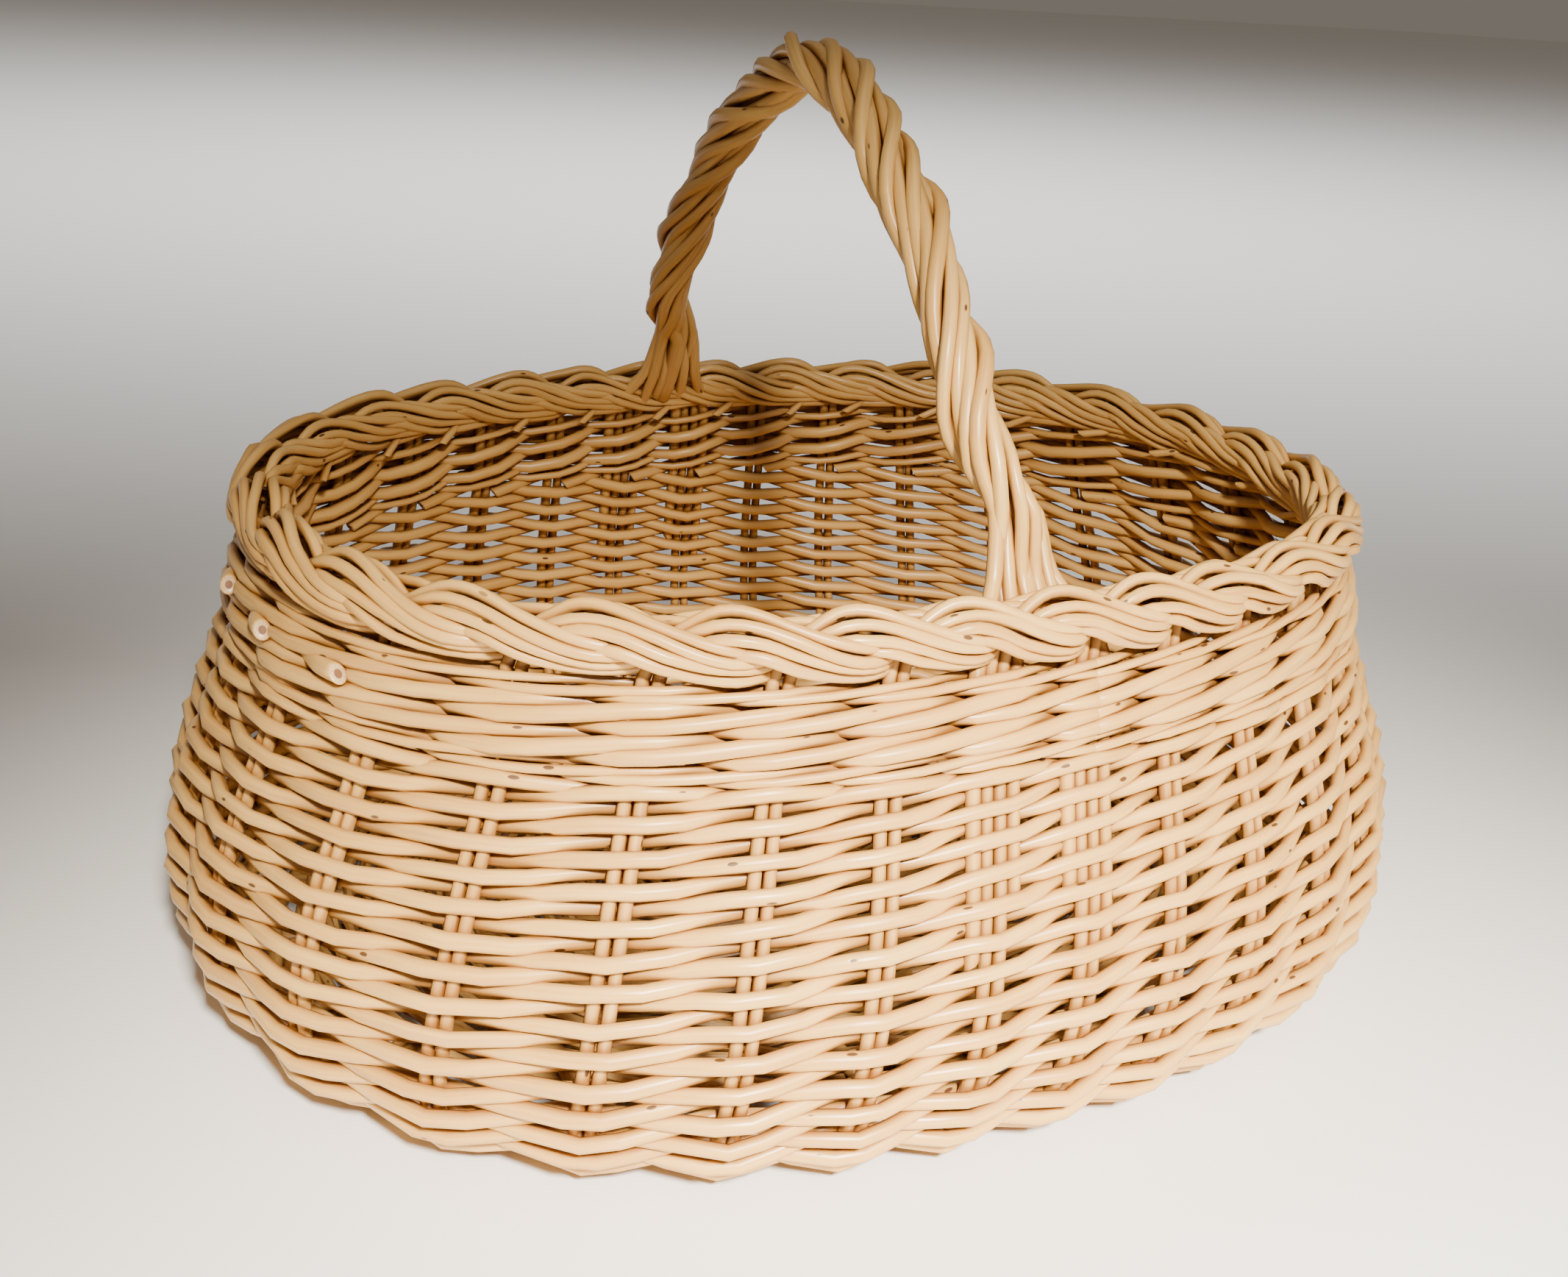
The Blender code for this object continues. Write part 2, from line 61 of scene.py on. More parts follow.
class Slot(Enum):
    """Material slots of the record that the pieces take their finish from."""

    STAKE = "stake_willow"
    WEAVE = "weave_willow"
    WALE = "wale_willow"
    BASE = "base_willow"
    STICK = "stick_willow"
    BORDER = "border_willow"
    HANDLE = "handle_willow"


@dataclass(frozen=True)
class WillowFinish:
    """Colours and gloss of one kind of peeled rod, and the colour of the shade painted into its crevices."""

    slot: Slot
    pale: Colour = (0.82, 0.505, 0.155)
    warm: Colour = (0.68, 0.370, 0.095)
    # painted shade: crevices between rods are multiplied towards this colour
    shade: Colour = (0.38, 0.23, 0.11)
    roughness: float = 0.36
    smoother: float = 0.07
    rougher: float = 0.09
    relief: float = 0.00035
    relief_strength: float = 0.6
    # reach of the painted crevice shade, as an ambient occlusion distance
    painted_shade_reach: float = 0.010


@dataclass(frozen=True)
class Lot:
    """Radius of the rods of a bundle at the butt and at the tip, and how unlike the rods are."""

    butt: float
    tip: float
    spread: float

    def taper(self, t: np.ndarray) -> np.ndarray:
        """Radius at places that run from the butt to the tip."""
        return np.interp(t, [t[0], t[-1]], [self.butt, self.tip])


def unit(vectors: np.ndarray) -> np.ndarray:
    """The same directions with a length of one."""
    return vectors / np.linalg.norm(vectors, axis=-1, keepdims=True)


def running_length(points: np.ndarray) -> np.ndarray:
    """Distance along a line of points, from its start to each of them."""
    steps = np.linalg.norm(np.diff(points, axis=0), axis=-1)
    return np.concatenate([[0.0], np.cumsum(steps)])


def points_at(run: np.ndarray, line_run: np.ndarray, line: np.ndarray) -> np.ndarray:
    """Points of a line at distances along it."""
    return np.stack([np.interp(run, line_run, axis) for axis in line.T], -1)


def smooth_curve(points: list[tuple[float, ...]], per_span: int) -> np.ndarray:
    """Points of a smooth curve through the given ones.

    Args:
        points: Places that the curve passes through.
        per_span: Number of steps between two of them.

    Returns:
        The points of the curve, one row each.
    """
    pts = [np.array(p, float) for p in points]
    pts = [2 * pts[0] - pts[1]] + pts + [2 * pts[-1] - pts[-2]]
    out = []
    for a, b, c, d in zip(pts, pts[1:], pts[2:], pts[3:]):
        for step in range(per_span):
            t = step / per_span
            out.append(0.5 * (2 * b + (c - a) * t + (2 * a - 5 * b + 4 * c - d) * t ** 2
                              + (3 * b - a - 3 * c + d) * t ** 3))
    out.append(pts[-2])
    return np.array(out)


def flow(knots: Knots, at: np.ndarray) -> np.ndarray:
    """Smooth values through uneven knots.

    Args:
        knots: Rows of a place and the values there, in rising order of place.
        at: Places to read.

    Returns:
        One row of values for each place.
    """
    table = np.array(knots, float)
    place, value = table[:, 0], table[:, 1:]
    slope = np.gradient(value, place, axis=0)
    k = np.clip(np.searchsorted(place, at, side="right") - 1, 0, len(place) - 2)
    width = (place[k + 1] - place[k])[:, None]
    t = np.clip((at - place[k])[:, None] / width, 0.0, 1.0)
    return ((2 * t ** 3 - 3 * t ** 2 + 1) * value[k] + (t ** 3 - 2 * t ** 2 + t) * width * slope[k]
            + (3 * t ** 2 - 2 * t ** 3) * value[k + 1] + (t ** 3 - t ** 2) * width * slope[k + 1])


@dataclass
class BasketForm:
    """The shape of the basket's wall and rim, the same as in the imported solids."""

    half_length: float = 0.200
    half_width: float = 0.159
    rim_height: float = 0.175
    oval_power: float = 2.3
    belly_flare: float = 0.033
    flare_shares: Knots = ((0.02, 0.45), (0.07, 0.78), (0.15, 0.95), (0.24, 1.0), (0.36, 0.94),
                           (0.50, 0.745), (0.64, 0.48), (0.78, 0.225), (0.90, 0.06), (1.0, 0.0))
    stakes: int = 30
    stake_rod: float = 0.0045
    stake_tail: float = 0.034
    end_spread: float = 0.16
    lean: float = 0.09
    border_reach: float = 0.0112
    foot_height: float = 0.0055
    foot_width: float = 0.010
    foot_inset: float = 0.008
    stake_gap: float = 0.0008
    wale_heights: tuple = (0.0055, 0.0090, 0.0090, 0.0055)
    clearance: float = 0.0003
    samples: int = 2400
    stake_steps: int = 8

    def __post_init__(self) -> None:
        """Measure the rim oval and the wall's line once."""
        turn = np.linspace(0.0, 2 * math.pi, self.samples + 1)
        self.rim_points = self.oval(turn, self.half_length, self.half_width)
        self.rim_run = running_length(self.rim_points)
        self.rim_length = float(self.rim_run[-1])
        self.all_round = np.linspace(0.0, self.stakes, self.stakes * self.stake_steps + 1)
        self.half_stake = self.stake_rod / 2
        self.tail_height = self.foot_height + self.clearance + self.half_stake
        rise = self.rim_height - self.tail_height
        points = [(tail, self.tail_height) for tail in (-self.stake_tail, -self.stake_tail / 2, 0.0)]
        points += [(flare * self.belly_flare, self.tail_height + height * rise)
                   for height, flare in self.flare_shares]
        self.wall_points = smooth_curve(points, self.samples // len(points))
        self.wall_run = running_length(self.wall_points)
        self.wall_length = float(self.wall_run[-1])
        self.stake_top = self.run_at_height(self.rim_height - self.border_reach - self.clearance)
        self.weave_top = self.stake_top - self.stake_gap - sum(self.wale_heights)
        low = self.foot_width / 2 - self.foot_inset + 2 * self.clearance
        self.weave_low = float(self.wall_run[int(np.argmax(self.wall_points[:, 0] >= low))])

    def oval(self, turn: np.ndarray, half_length: float, half_width: float) -> np.ndarray:
        """Flat points of an oval at turns from its near side, anticlockwise."""
        power = 2 / self.oval_power
        x = half_length * np.sign(np.sin(turn)) * np.abs(np.sin(turn)) ** power
        y = -half_width * np.sign(np.cos(turn)) * np.abs(np.cos(turn)) ** power
        return np.stack([x, y], 1)

    def run_at_height(self, height: float) -> float:
        """Distance along the wall's line at which it reaches a height."""
        return float(np.interp(height, self.wall_points[:, 1], self.wall_run))

    def share(self, stake: np.ndarray) -> np.ndarray:
        """Share of the rim's length at which a stake, or a place between two, stands."""
        even = (np.asarray(stake, float) + 0.5) / self.stakes
        return even - self.end_spread * np.sin(4 * np.pi * even) / (4 * np.pi)

    def rim(self, share: np.ndarray) -> tuple[np.ndarray, np.ndarray]:
        """Flat points of the rim oval and its outward directions at shares of its length."""
        flat = points_at(np.mod(share, 1.0) * self.rim_length, self.rim_run, self.rim_points)
        power = self.oval_power
        scale = (self.half_length ** power, self.half_width ** power)
        return flat, unit(np.sign(flat) * np.abs(flat) ** (power - 1) / scale)

    def wall(self, stake: np.ndarray, run: np.ndarray, off: np.ndarray = 0.0,
             side: np.ndarray = 0.0) -> np.ndarray:
        """Points on the wall.

        Args:
            stake: Stake number, whole at a stake and fractional between two.
            run: Distance up the wall's line from the inner end of the stake's tail.
            off: Depth off the wall's middle line, outwards.
            side: Step to one side along the rim.

        Returns:
            One row of X, Y and Z for each place.
        """
        places = [np.asarray(v, float) for v in (stake, run, off, side)]
        stake, run, off, side = np.broadcast_arrays(*places)
        reach = self.wall_length / self.samples
        below, here, above = [points_at(run + step, self.wall_run, self.wall_points)
                              for step in (-reach, 0.0, reach)]
        along = unit(above - below)
        flare, height = here[..., 0], here[..., 1]
        lean = self.lean * (self.rim_height - height) / self.rim_length
        rim, outward = self.rim(self.share(stake) - lean)
        sideways = np.stack([-outward[..., 1], outward[..., 0]], -1)
        flat = rim + outward * (flare + off * along[..., 1])[..., None] + sideways * side[..., None]
        return np.concatenate([flat, (height - off * along[..., 0])[..., None]], -1)

    def ring(self, stake: np.ndarray, out: np.ndarray, height: np.ndarray) -> np.ndarray:
        """Points round the rim at a step outwards from its line and at a height."""
        stake, out, height = np.broadcast_arrays(*[np.asarray(v, float) for v in (stake, out, height)])
        rim, outward = self.rim(self.share(stake))
        return np.concatenate([rim + outward * out[..., None], height[..., None]], -1)


@dataclass
class RodStock:
    """A straight round rod with bevelled cut ends, modelled once for each number of steps and sides."""

    bevel: float = 0.16
    pith: float = 0.52
    pith_edge: float = 0.6
    at_end: float = 1e-4
    cache: dict = field(default_factory=dict)

    def straight(self, steps: int, sides: int) -> dict[str, np.ndarray]:
        """Corners and faces of the straight rod with these numbers of steps and sides."""
        if (steps, sides) not in self.cache:
            self.cache[steps, sides] = self.model(steps, sides)
        return self.cache[steps, sides]

    def pick(self, mesh: bpy.types.Mesh, kind: str, wanted: Callable[[object], bool]) -> None:
        """Select the wanted edges or faces of the mesh in edit mode."""
        bpy.ops.mesh.select_mode(type=kind)
        bpy.ops.mesh.select_all(action="DESELECT")
        work = bmesh.from_edit_mesh(mesh)
        for item in work.edges if kind == "EDGE" else work.faces:
            item.select_set(wanted(item))
        bmesh.update_edit_mesh(mesh)

    def model(self, steps: int, sides: int) -> dict[str, np.ndarray]:
        """Model the straight rod from a cylinder with cross cuts, bevelled ends and a pith.

        Args:
            steps: Number of spans along the rod.
            sides: Number of sides of the rod.

        Returns:
            Its corners as ring number, place on the ring, step past the end and end mask, and its faces.
        """
        bpy.ops.object.select_all(action="DESELECT")
        bpy.ops.mesh.primitive_cylinder_add(vertices=sides, radius=1.0, depth=steps, end_fill_type="NGON",
                                            location=(0.0, 0.0, steps / 2))
        rod = bpy.context.object
        mesh = rod.data
        bpy.ops.object.transform_apply(location=True, rotation=True, scale=True)
        bpy.ops.object.mode_set(mode="EDIT")
        self.pick(mesh, "EDGE", lambda edge: abs(edge.verts[0].co.z - edge.verts[1].co.z) > 0.5)
        if steps > 1:
            bpy.ops.mesh.subdivide(number_cuts=steps - 1)
        self.pick(mesh, "FACE", lambda face: abs(face.normal.z) > 0.9)
        bpy.ops.mesh.inset(thickness=self.bevel, depth=self.bevel)
        bpy.ops.mesh.inset(thickness=self.pith, depth=-self.bevel / 4)
        bpy.ops.object.mode_set(mode="OBJECT")
        co = np.array([v.co for v in mesh.vertices])
        up = co[:, 2]
        over = np.where(up > steps, up - steps, np.minimum(up, 0.0))
        around = np.linalg.norm(co[:, :2], axis=1)
        cut = np.where(np.abs(over) < self.at_end, 0.0, np.where(around < self.pith_edge, 1.0, 0.5))
        faces = [tuple(p.vertices) for p in mesh.polygons]
        bpy.data.objects.remove(rod)
        bpy.data.meshes.remove(mesh)
        return {"seg": np.clip(np.round(up), 0, steps).astype(int), "x": co[:, 0], "y": co[:, 1],
                "over": over, "cut": cut, "loops": np.array([v for f in faces for v in f]),
                "sizes": np.array([len(f) for f in faces])}


@dataclass
class Bundle:
    """Rods of one piece, each wound from straight stock onto its own way."""

    name: str
    stock: RodStock
    seed: int
    sides: int = 8
    grain_reach: float = 9.0
    steep: float = 0.8
    rods: list = field(default_factory=list)

    def __post_init__(self) -> None:
        """Start the piece's own steady source of small differences."""
        self.chance = np.random.default_rng(self.seed)

    def stray(self, at: np.ndarray, places: np.ndarray, size: float) -> np.ndarray:
        """A small error that changes evenly from one place to the next."""
        return np.interp(at, places, self.chance.normal(0.0, size, len(places)))

    def size(self, lot: Lot) -> float:
        """How thick the next rod is against its lot."""
        return self.chance.uniform(1 - lot.spread, 1 + lot.spread)

    def wind(self, way: np.ndarray, radius: np.ndarray, slant: float = 0.0) -> None:
        """Wind a straight rod onto a way.

        Args:
            way: Points of the rod's middle line, one row each.
            radius: The rod's radius at each point.
            slant: How far the cuts at the ends lean, in radii.
        """
        last = len(way) - 1
        straight = self.stock.straight(last, self.sides)
        ahead = unit(np.gradient(way, axis=0))
        across = np.empty_like(way)
        side = np.array((0.0, 0.0, 1.0) if abs(ahead[0, 2]) < self.steep else (1.0, 0.0, 0.0))
        for step, forward in enumerate(ahead):
            side = unit(side - forward * np.sum(side * forward))
            across[step] = side
        other = np.cross(ahead, across)
        seg, x, y = straight["seg"], straight["x"], straight["y"]
        past = straight["over"] + np.where((seg == 0) | (seg == last), slant * x, 0.0)
        thick = radius[seg]
        place = (way[seg] + across[seg] * (thick * x)[:, None] + other[seg] * (thick * y)[:, None]
                 + ahead[seg] * (thick * past)[:, None])
        shift = self.chance.uniform(0.0, self.grain_reach, 3)
        lying = np.stack([running_length(way)[seg] + thick * past, thick * x, thick * y], -1) + shift
        tone = np.full(len(seg), self.chance.uniform(0.0, 1.0))
        self.rods.append({**straight, "place": place, "lying": lying, "tone": tone})

    def gather(self, label: str) -> np.ndarray:
        """One kind of value of all the rods, one after the other."""
        return np.concatenate([rod[label] for rod in self.rods]).astype(np.float32).ravel()

    def finish(self, material: bpy.types.Material, slot: Slot, nodes: list[str]) -> None:
        """Join the rods into one mesh, dress it and let it ride on the frame.

        Args:
            material: The rods' finish.
            slot: The record's slot for it; not used.
            nodes: CAD nodes that the piece stands for.
        """
        starts = np.cumsum([0] + [len(rod["place"]) for rod in self.rods])
        loops = np.concatenate([rod["loops"] + start for rod, start in zip(self.rods, starts)])
        sizes = np.concatenate([rod["sizes"] for rod in self.rods])
        mesh = bpy.data.meshes.new(self.name)
        mesh.vertices.add(int(starts[-1]))
        mesh.vertices.foreach_set("co", self.gather("place"))
        mesh.loops.add(len(loops))
        mesh.loops.foreach_set("vertex_index", loops.astype(np.int32))
        mesh.polygons.add(len(sizes))
        first_loops = np.concatenate([[0], np.cumsum(sizes)[:-1]])
        mesh.polygons.foreach_set("loop_start", first_loops.astype(np.int32))
        mesh.update(calc_edges=True)
        mesh.validate()
        for label, kind, value in (("lying", "FLOAT_VECTOR", "vector"), ("tone", "FLOAT", "value"),
                                   ("cut", "FLOAT", "value")):
            mesh.attributes.new(label, kind, "POINT").data.foreach_set(value, self.gather(label))
        mesh.materials.append(material)
        piece = bpy.data.objects.new(self.name, mesh)
        bpy.context.scene.collection.objects.link(piece)
        bpy.ops.object.select_all(action="DESELECT")
        piece.select_set(True)
        bpy.context.view_layer.objects.active = piece
        bpy.ops.object.shade_smooth_by_angle(angle=math.radians(SMOOTH_ANGLE))
        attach(piece, "root")
        if nodes:
            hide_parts(*nodes)
        log.info("%s: %d rods, %d faces", self.name, len(self.rods), len(sizes))


@dataclass
class NodeBench:
    """Adds and wires the nodes of one tree."""

    tree: bpy.types.NodeTree

    def feed(self, node: bpy.types.Node, inputs: dict) -> None:
        """Join outputs to a node's inputs, or set these to plain values."""
        for label, source in inputs.items():
            if isinstance(source, bpy.types.NodeSocket):
                self.tree.links.new(source, node.inputs[label])
            else:
                node.inputs[label].default_value = source

    def add(self, kind: str, inputs: dict | None = None, **settings: object) -> bpy.types.Node:
        """Add a node, set its options and feed its inputs, by name or by number."""
        node = self.tree.nodes.new(kind)
        for name, value in settings.items():
            setattr(node, name, value)
        self.feed(node, inputs or {})
        return node

    def own(self, name: str, output: str) -> bpy.types.NodeSocket:
        """One of the piece's own attributes."""
        return self.add("ShaderNodeAttribute", attribute_name=name).outputs[output]

    def sum(self, operation: str, *terms: object) -> bpy.types.NodeSocket:
        """A Math node on plain values or outputs, kept between 0 and 1."""
        node = self.add("ShaderNodeMath", dict(enumerate(terms)), operation=operation, use_clamp=True)
        return node.outputs[0]

    def blend(self, share: object, first: object, second: object, way: str = "MIX") -> bpy.types.NodeSocket:
        """A colour between two, or one laid over the other."""
        inputs = {0: share, 6: first, 7: second}
        return self.add("ShaderNodeMix", inputs, data_type="RGBA", blend_type=way).outputs[2]

    def ramp(self, source: object, low: float, high: float, start: float = 0.0,
             end: float = 1.0) -> bpy.types.NodeSocket:
        """A value spread smoothly from one range to another."""
        inputs = dict(enumerate((source, low, high, start, end)))
        return self.add("ShaderNodeMapRange", inputs, interpolation_type="SMOOTHSTEP").outputs[0]

    def stretch(self, lying: object, scale: tuple[float, float, float]) -> bpy.types.NodeSocket:
        """Places on the rods, scaled along and across them for a texture."""
        return self.add("ShaderNodeMapping", {"Vector": lying, "Scale": scale}).outputs[0]

    def noise(self, lying: object, scale: tuple[float, float, float], detail: float) -> bpy.types.NodeSocket:
        """Noise drawn out along the rod."""
        inputs = {"Vector": self.stretch(lying, scale), "Scale": 1.0, "Detail": detail}
        return self.add("ShaderNodeTexNoise", inputs).outputs["Fac"]


@dataclass
class WillowShop:
    """Shader groups of peeled willow, built once, and a material for each finish."""

    line_brown: tuple = (0.62, 0.42, 0.24, 1.0)
    stain_brown: tuple = (0.55, 0.30, 0.13, 1.0)
    knot_brown: tuple = (0.09, 0.035, 0.012, 1.0)
    end_cream: tuple = (0.80, 0.58, 0.32, 1.0)
    end_tan: tuple = (0.52, 0.31, 0.13, 1.0)
    pith_brown: tuple = (0.24, 0.11, 0.05, 1.0)
    groups: dict = field(default_factory=dict)

    def start(self, name: str, inputs: dict[str, str],
              outputs: dict[str, str]) -> tuple[NodeBench, object, bpy.types.Node]:
        """Start a shader group with named sockets.

        Args:
            name: The group's name.
            inputs: Socket kinds by name.
            outputs: Socket kinds by name.

        Returns:
            Its bench, the sockets that bring values in and the node that takes them out.
        """
        tree = bpy.data.node_groups.new(name, "ShaderNodeTree")
        for way, sockets in (("INPUT", inputs), ("OUTPUT", outputs)):
            for label, kind in sockets.items():
                tree.interface.new_socket(label, in_out=way, socket_type="NodeSocket" + kind)
        self.groups[name] = tree
        bench = NodeBench(tree)
        return bench, bench.add("NodeGroupInput").outputs, bench.add("NodeGroupOutput")

    def grain(self) -> None:
        """Bark-free wood: tone of each rod, stains, fine lines along it and small knots."""
        bench, into, out = self.start(
            "peeled_grain", {"Lying": "Vector", "Tone": "Float", "Pale": "Color", "Warm": "Color"},
            {"Color": "Color", "Gloss": "Float", "Height": "Float"})
        lying = into["Lying"]
        lines = bench.noise(lying, (40.0, 900.0, 900.0), 3.0)
        patches = bench.noise(lying, (14.0, 110.0, 110.0), 3.0)
        stains = bench.noise(lying, (5.0, 240.0, 240.0), 2.0)
        warmth = bench.sum("MULTIPLY_ADD", bench.ramp(patches, 0.3, 0.72), 0.55,
                           bench.sum("MULTIPLY", into["Tone"], 0.5))
        colour = bench.blend(warmth, into["Pale"], into["Warm"])
        colour = bench.blend(bench.ramp(lines, 0.35, 0.75, 0.0, 0.30), colour, self.line_brown, "MULTIPLY")
        colour = bench.blend(bench.ramp(stains, 0.58, 0.74, 0.0, 0.48), colour, self.stain_brown)
        spread = bench.stretch(lying, (60.0, 150.0, 150.0))
        cells = bench.add("ShaderNodeTexVoronoi", {"Vector": spread, "Scale": 1.0})
        pick = bench.add("ShaderNodeSeparateColor", {0: cells.outputs["Color"]})
        knots = bench.sum("MULTIPLY", bench.ramp(cells.outputs["Distance"], 0.12, 0.08),
                          bench.ramp(pick.outputs[0], 0.42, 0.46))
        colour = bench.blend(bench.sum("MULTIPLY", knots, 0.95), colour, self.knot_brown)
        height = bench.sum("MULTIPLY_ADD", lines, 0.35, bench.sum("MULTIPLY", patches, 0.5))
        height = bench.sum("SUBTRACT", height, bench.sum("MULTIPLY", knots, 0.4))
        bench.feed(out, {"Color": colour, "Gloss": bench.ramp(patches, 0.2, 0.8), "Height": height})

    def cut_end(self) -> None:
        """Cream end wood with a brown pith where a rod is cut across."""
        bench, into, out = self.start("cut_end", {"Color": "Color", "Cut": "Float", "Lying": "Vector"},
                                      {"Color": "Color"})
        fibres = bench.noise(into["Lying"], (500.0, 1500.0, 1500.0), 2.0)
        wood = bench.blend(bench.ramp(fibres, 0.3, 0.7, 0.0, 0.6), self.end_cream, self.end_tan)
        colour = bench.blend(bench.ramp(into["Cut"], 0.25, 0.45), into["Color"], wood)
        colour = bench.blend(bench.ramp(into["Cut"], 0.84, 0.93), colour, self.pith_brown)
        bench.feed(out, {"Color": colour})

    def material(self, finish: WillowFinish) -> bpy.types.Material:
        """The material of one finish, with shade painted into its crevices.

        Args:
            finish: Colours and gloss.

        Returns:
            A material whose pattern follows each rod.
        """
        if not self.groups:
            self.grain()
            self.cut_end()
        material = bpy.data.materials.new(finish.slot.value)
        material.use_nodes = True
        bench = NodeBench(material.node_tree)
        lying = bench.own("lying", "Vector")
        inputs = {"Lying": lying, "Tone": bench.own("tone", "Fac"), "Pale": (*finish.pale, 1.0),
                  "Warm": (*finish.warm, 1.0)}
        grain = bench.add("ShaderNodeGroup", inputs, node_tree=self.groups["peeled_grain"]).outputs
        inputs = {"Color": grain["Color"], "Cut": bench.own("cut", "Fac"), "Lying": lying}
        ends = bench.add("ShaderNodeGroup", inputs, node_tree=self.groups["cut_end"])
        # Painted shade: ambient occlusion darkens the colour towards the shade colour in crevices and between
        # rods, where shade falls.
        painted_shade_ao = bench.add("ShaderNodeAmbientOcclusion", {"Distance": finish.painted_shade_reach}, samples=8)
        depth = bench.ramp(painted_shade_ao.outputs["AO"], 0.04, 0.92, 1.0, 0.0)
        colour = bench.blend(depth, ends.outputs["Color"], (*finish.shade, 1.0), "MULTIPLY")
        gloss = bench.add("ShaderNodeMapRange", {0: grain["Gloss"], 3: finish.roughness - finish.smoother,
                                                 4: finish.roughness + finish.rougher})
        bump = bench.add("ShaderNodeBump", {"Strength": finish.relief_strength, "Distance": finish.relief,
                                            "Height": grain["Height"]})
        bench.feed(material.node_tree.nodes["Principled BSDF"],
                   {"Base Color": colour, "Roughness": gloss.outputs[0], "Normal": bump.outputs[0]})
        return material


@dataclass
class Section:
    """A section of the basket: the form it follows, and the stock and finishes it is made from."""

    form: BasketForm
    stock: RodStock
    shop: WillowShop


@dataclass
class Base(Section):
    """Slit cross sticks, the long sticks through them, the base weaving and the foot waling."""

    cross_stick: float = 0.0075
    cross_spacing: float = 0.044
    cross_sticks: int = 7
    cross_reach: float = 0.97
    long_stick: float = 0.0040
    long_spacing: float = 0.0318
    long_sticks: int = 3
    long_reach: float = 0.9
    end_inset: float = 0.012
    edge_inset: float = 0.009
    weaver: float = 0.0034
    weaver_sizes: tuple = (0.92, 1.04)
    weaver_stray: float = 0.00008
    first_round: float = 0.4
    round_pitch: float = 0.0033
    round_steps: tuple = ((12, 48), (28, 96), (100, 144))
    swing: float = 0.0039
    foot_rods: int = 3
    foot_rod: float = 0.0034
    foot_swing: float = 0.0026
    foot_lift: float = 0.0010
    foot_start: float = 0.4

    def __post_init__(self) -> None:
        """Find the height and the places of the sticks."""
        form = self.form
        self.middle = (form.tail_height + form.half_stake + 2 * form.clearance) + self.cross_stick / 2
        self.cross_places = self.places(self.cross_sticks, self.cross_spacing)
        self.long_places = self.places(self.long_sticks, self.long_spacing)

    def places(self, count: int, spacing: float) -> list[float]:
        """Even places either side of the middle."""
        return [(k - (count - 1) / 2) * spacing for k in range(count)]

    def reach(self, place: float, first: float, second: float) -> float:
        """How far a stick reaches along one half of the rim oval, at a place along the other half."""
        inside = max(0.0, 1 - abs(place / first) ** self.form.oval_power)
        return second * inside ** (1 / self.form.oval_power) - self.end_inset

    def sticks(self) -> None:
        """Lay the cross sticks and the long ones, each as its own piece."""
        length, width = self.form.half_length, self.form.half_width
        material = self.shop.material(WillowFinish(Slot.STICK, pale=(0.75, 0.455, 0.15),
                                                   warm=(0.60, 0.315, 0.085)))
        for number, x in enumerate(self.cross_places, 1):
            reach = self.reach(x, length, width)
            ends = np.array([(x, -reach), (x, reach)])
            self.stick(f"cross_rod_{number}", ends, self.cross_stick, number, material)
        for number, y in enumerate(self.long_places, 1):
            reach = self.reach(y, width, length)
            ends = np.array([(-reach, y), (reach, y)])
            self.stick(f"long_rod_{number}", ends, self.long_stick, number + 20, material)

    def stick(self, name: str, ends: np.ndarray, thick: float, seed: int,
              material: bpy.types.Material) -> None:
        """One straight stick of the base.

        Args:
            name: The piece's name, and with stick for rod its CAD node's, both without base.
            ends: Flat places of its two ends.
            thick: Its thickness in the middle.
            seed: Start of its small differences.
            material: Its finish.
        """
        bundle = Bundle("base_" + name, self.stock, seed, sides=12)
        share = np.linspace(0.0, 1.0, 25)
        flat = ends[0] + (ends[1] - ends[0]) * share[:, None]
        way = np.concatenate([flat, np.full((len(share), 1), self.middle)], 1)
        radius = thick / 2 * (0.99 - 0.16 * np.abs(2 * share - 1) ** 2)
        bundle.wind(way, radius, slant=0.5)
        bundle.finish(material, Slot.STICK, ["base_" + name.replace("rod", "stick")])

    def crossings(self, half_length: float, half_width: float) -> list[float]:
        """Turns at which a round of the weaving crosses a stick."""
        half_power, full = self.form.oval_power / 2, 2 * math.pi
        turns = []
        for x in self.cross_places:
            share = abs(x) / half_length
            if share < self.cross_reach:
                turn = math.asin(share ** half_power) * (1 if x >= 0 else -1)
                turns += [turn % full, (math.pi - turn) % full]
        for y in self.long_places:
            share = abs(y) / half_width
            if share < self.long_reach:
                turn = math.acos(share ** half_power)
                turn = turn if y <= 0 else math.pi - turn
                turns += [turn % full, (-turn) % full]
        return sorted(turns)

    def weaving(self) -> None:
        """Rounds of thin rods over and under the sticks, from the middle to the edge."""
        form = self.form
        bundle = Bundle("base_weaving", self.stock, 71, sides=6)
        half_width = form.half_width - self.edge_inset
        longer = form.half_length - form.half_width
        rounds = int(half_width / self.round_pitch)
        for number in range(1, rounds):
            width = half_width * (number + self.first_round) / rounds
            length = width + longer
            steps = next(steps for end, steps in self.round_steps if number < end)
            turn = np.linspace(0.0, 2 * math.pi, steps + 1)
            turns = self.crossings(length, width)
            knots = [turns[-1] - 2 * math.pi] + turns + [turns[0] + 2 * math.pi]
            phase = np.interp(turn, knots, np.arange(-1, len(turns) + 1))
            z = self.middle + self.swing * np.cos(math.pi * (phase + number))
            way = np.column_stack([form.oval(turn, length, width), z])
            way += bundle.chance.normal(0.0, self.weaver_stray, way.shape)
            way[-1] = way[0]
            radius = np.full(len(way), self.weaver / 2 * bundle.chance.uniform(*self.weaver_sizes))
            bundle.wind(way, radius)
        material = self.shop.material(WillowFinish(Slot.BASE, pale=(0.77, 0.465, 0.15),
                                                   warm=(0.63, 0.335, 0.09)))
        bundle.finish(material, Slot.BASE, ["base_weave"])

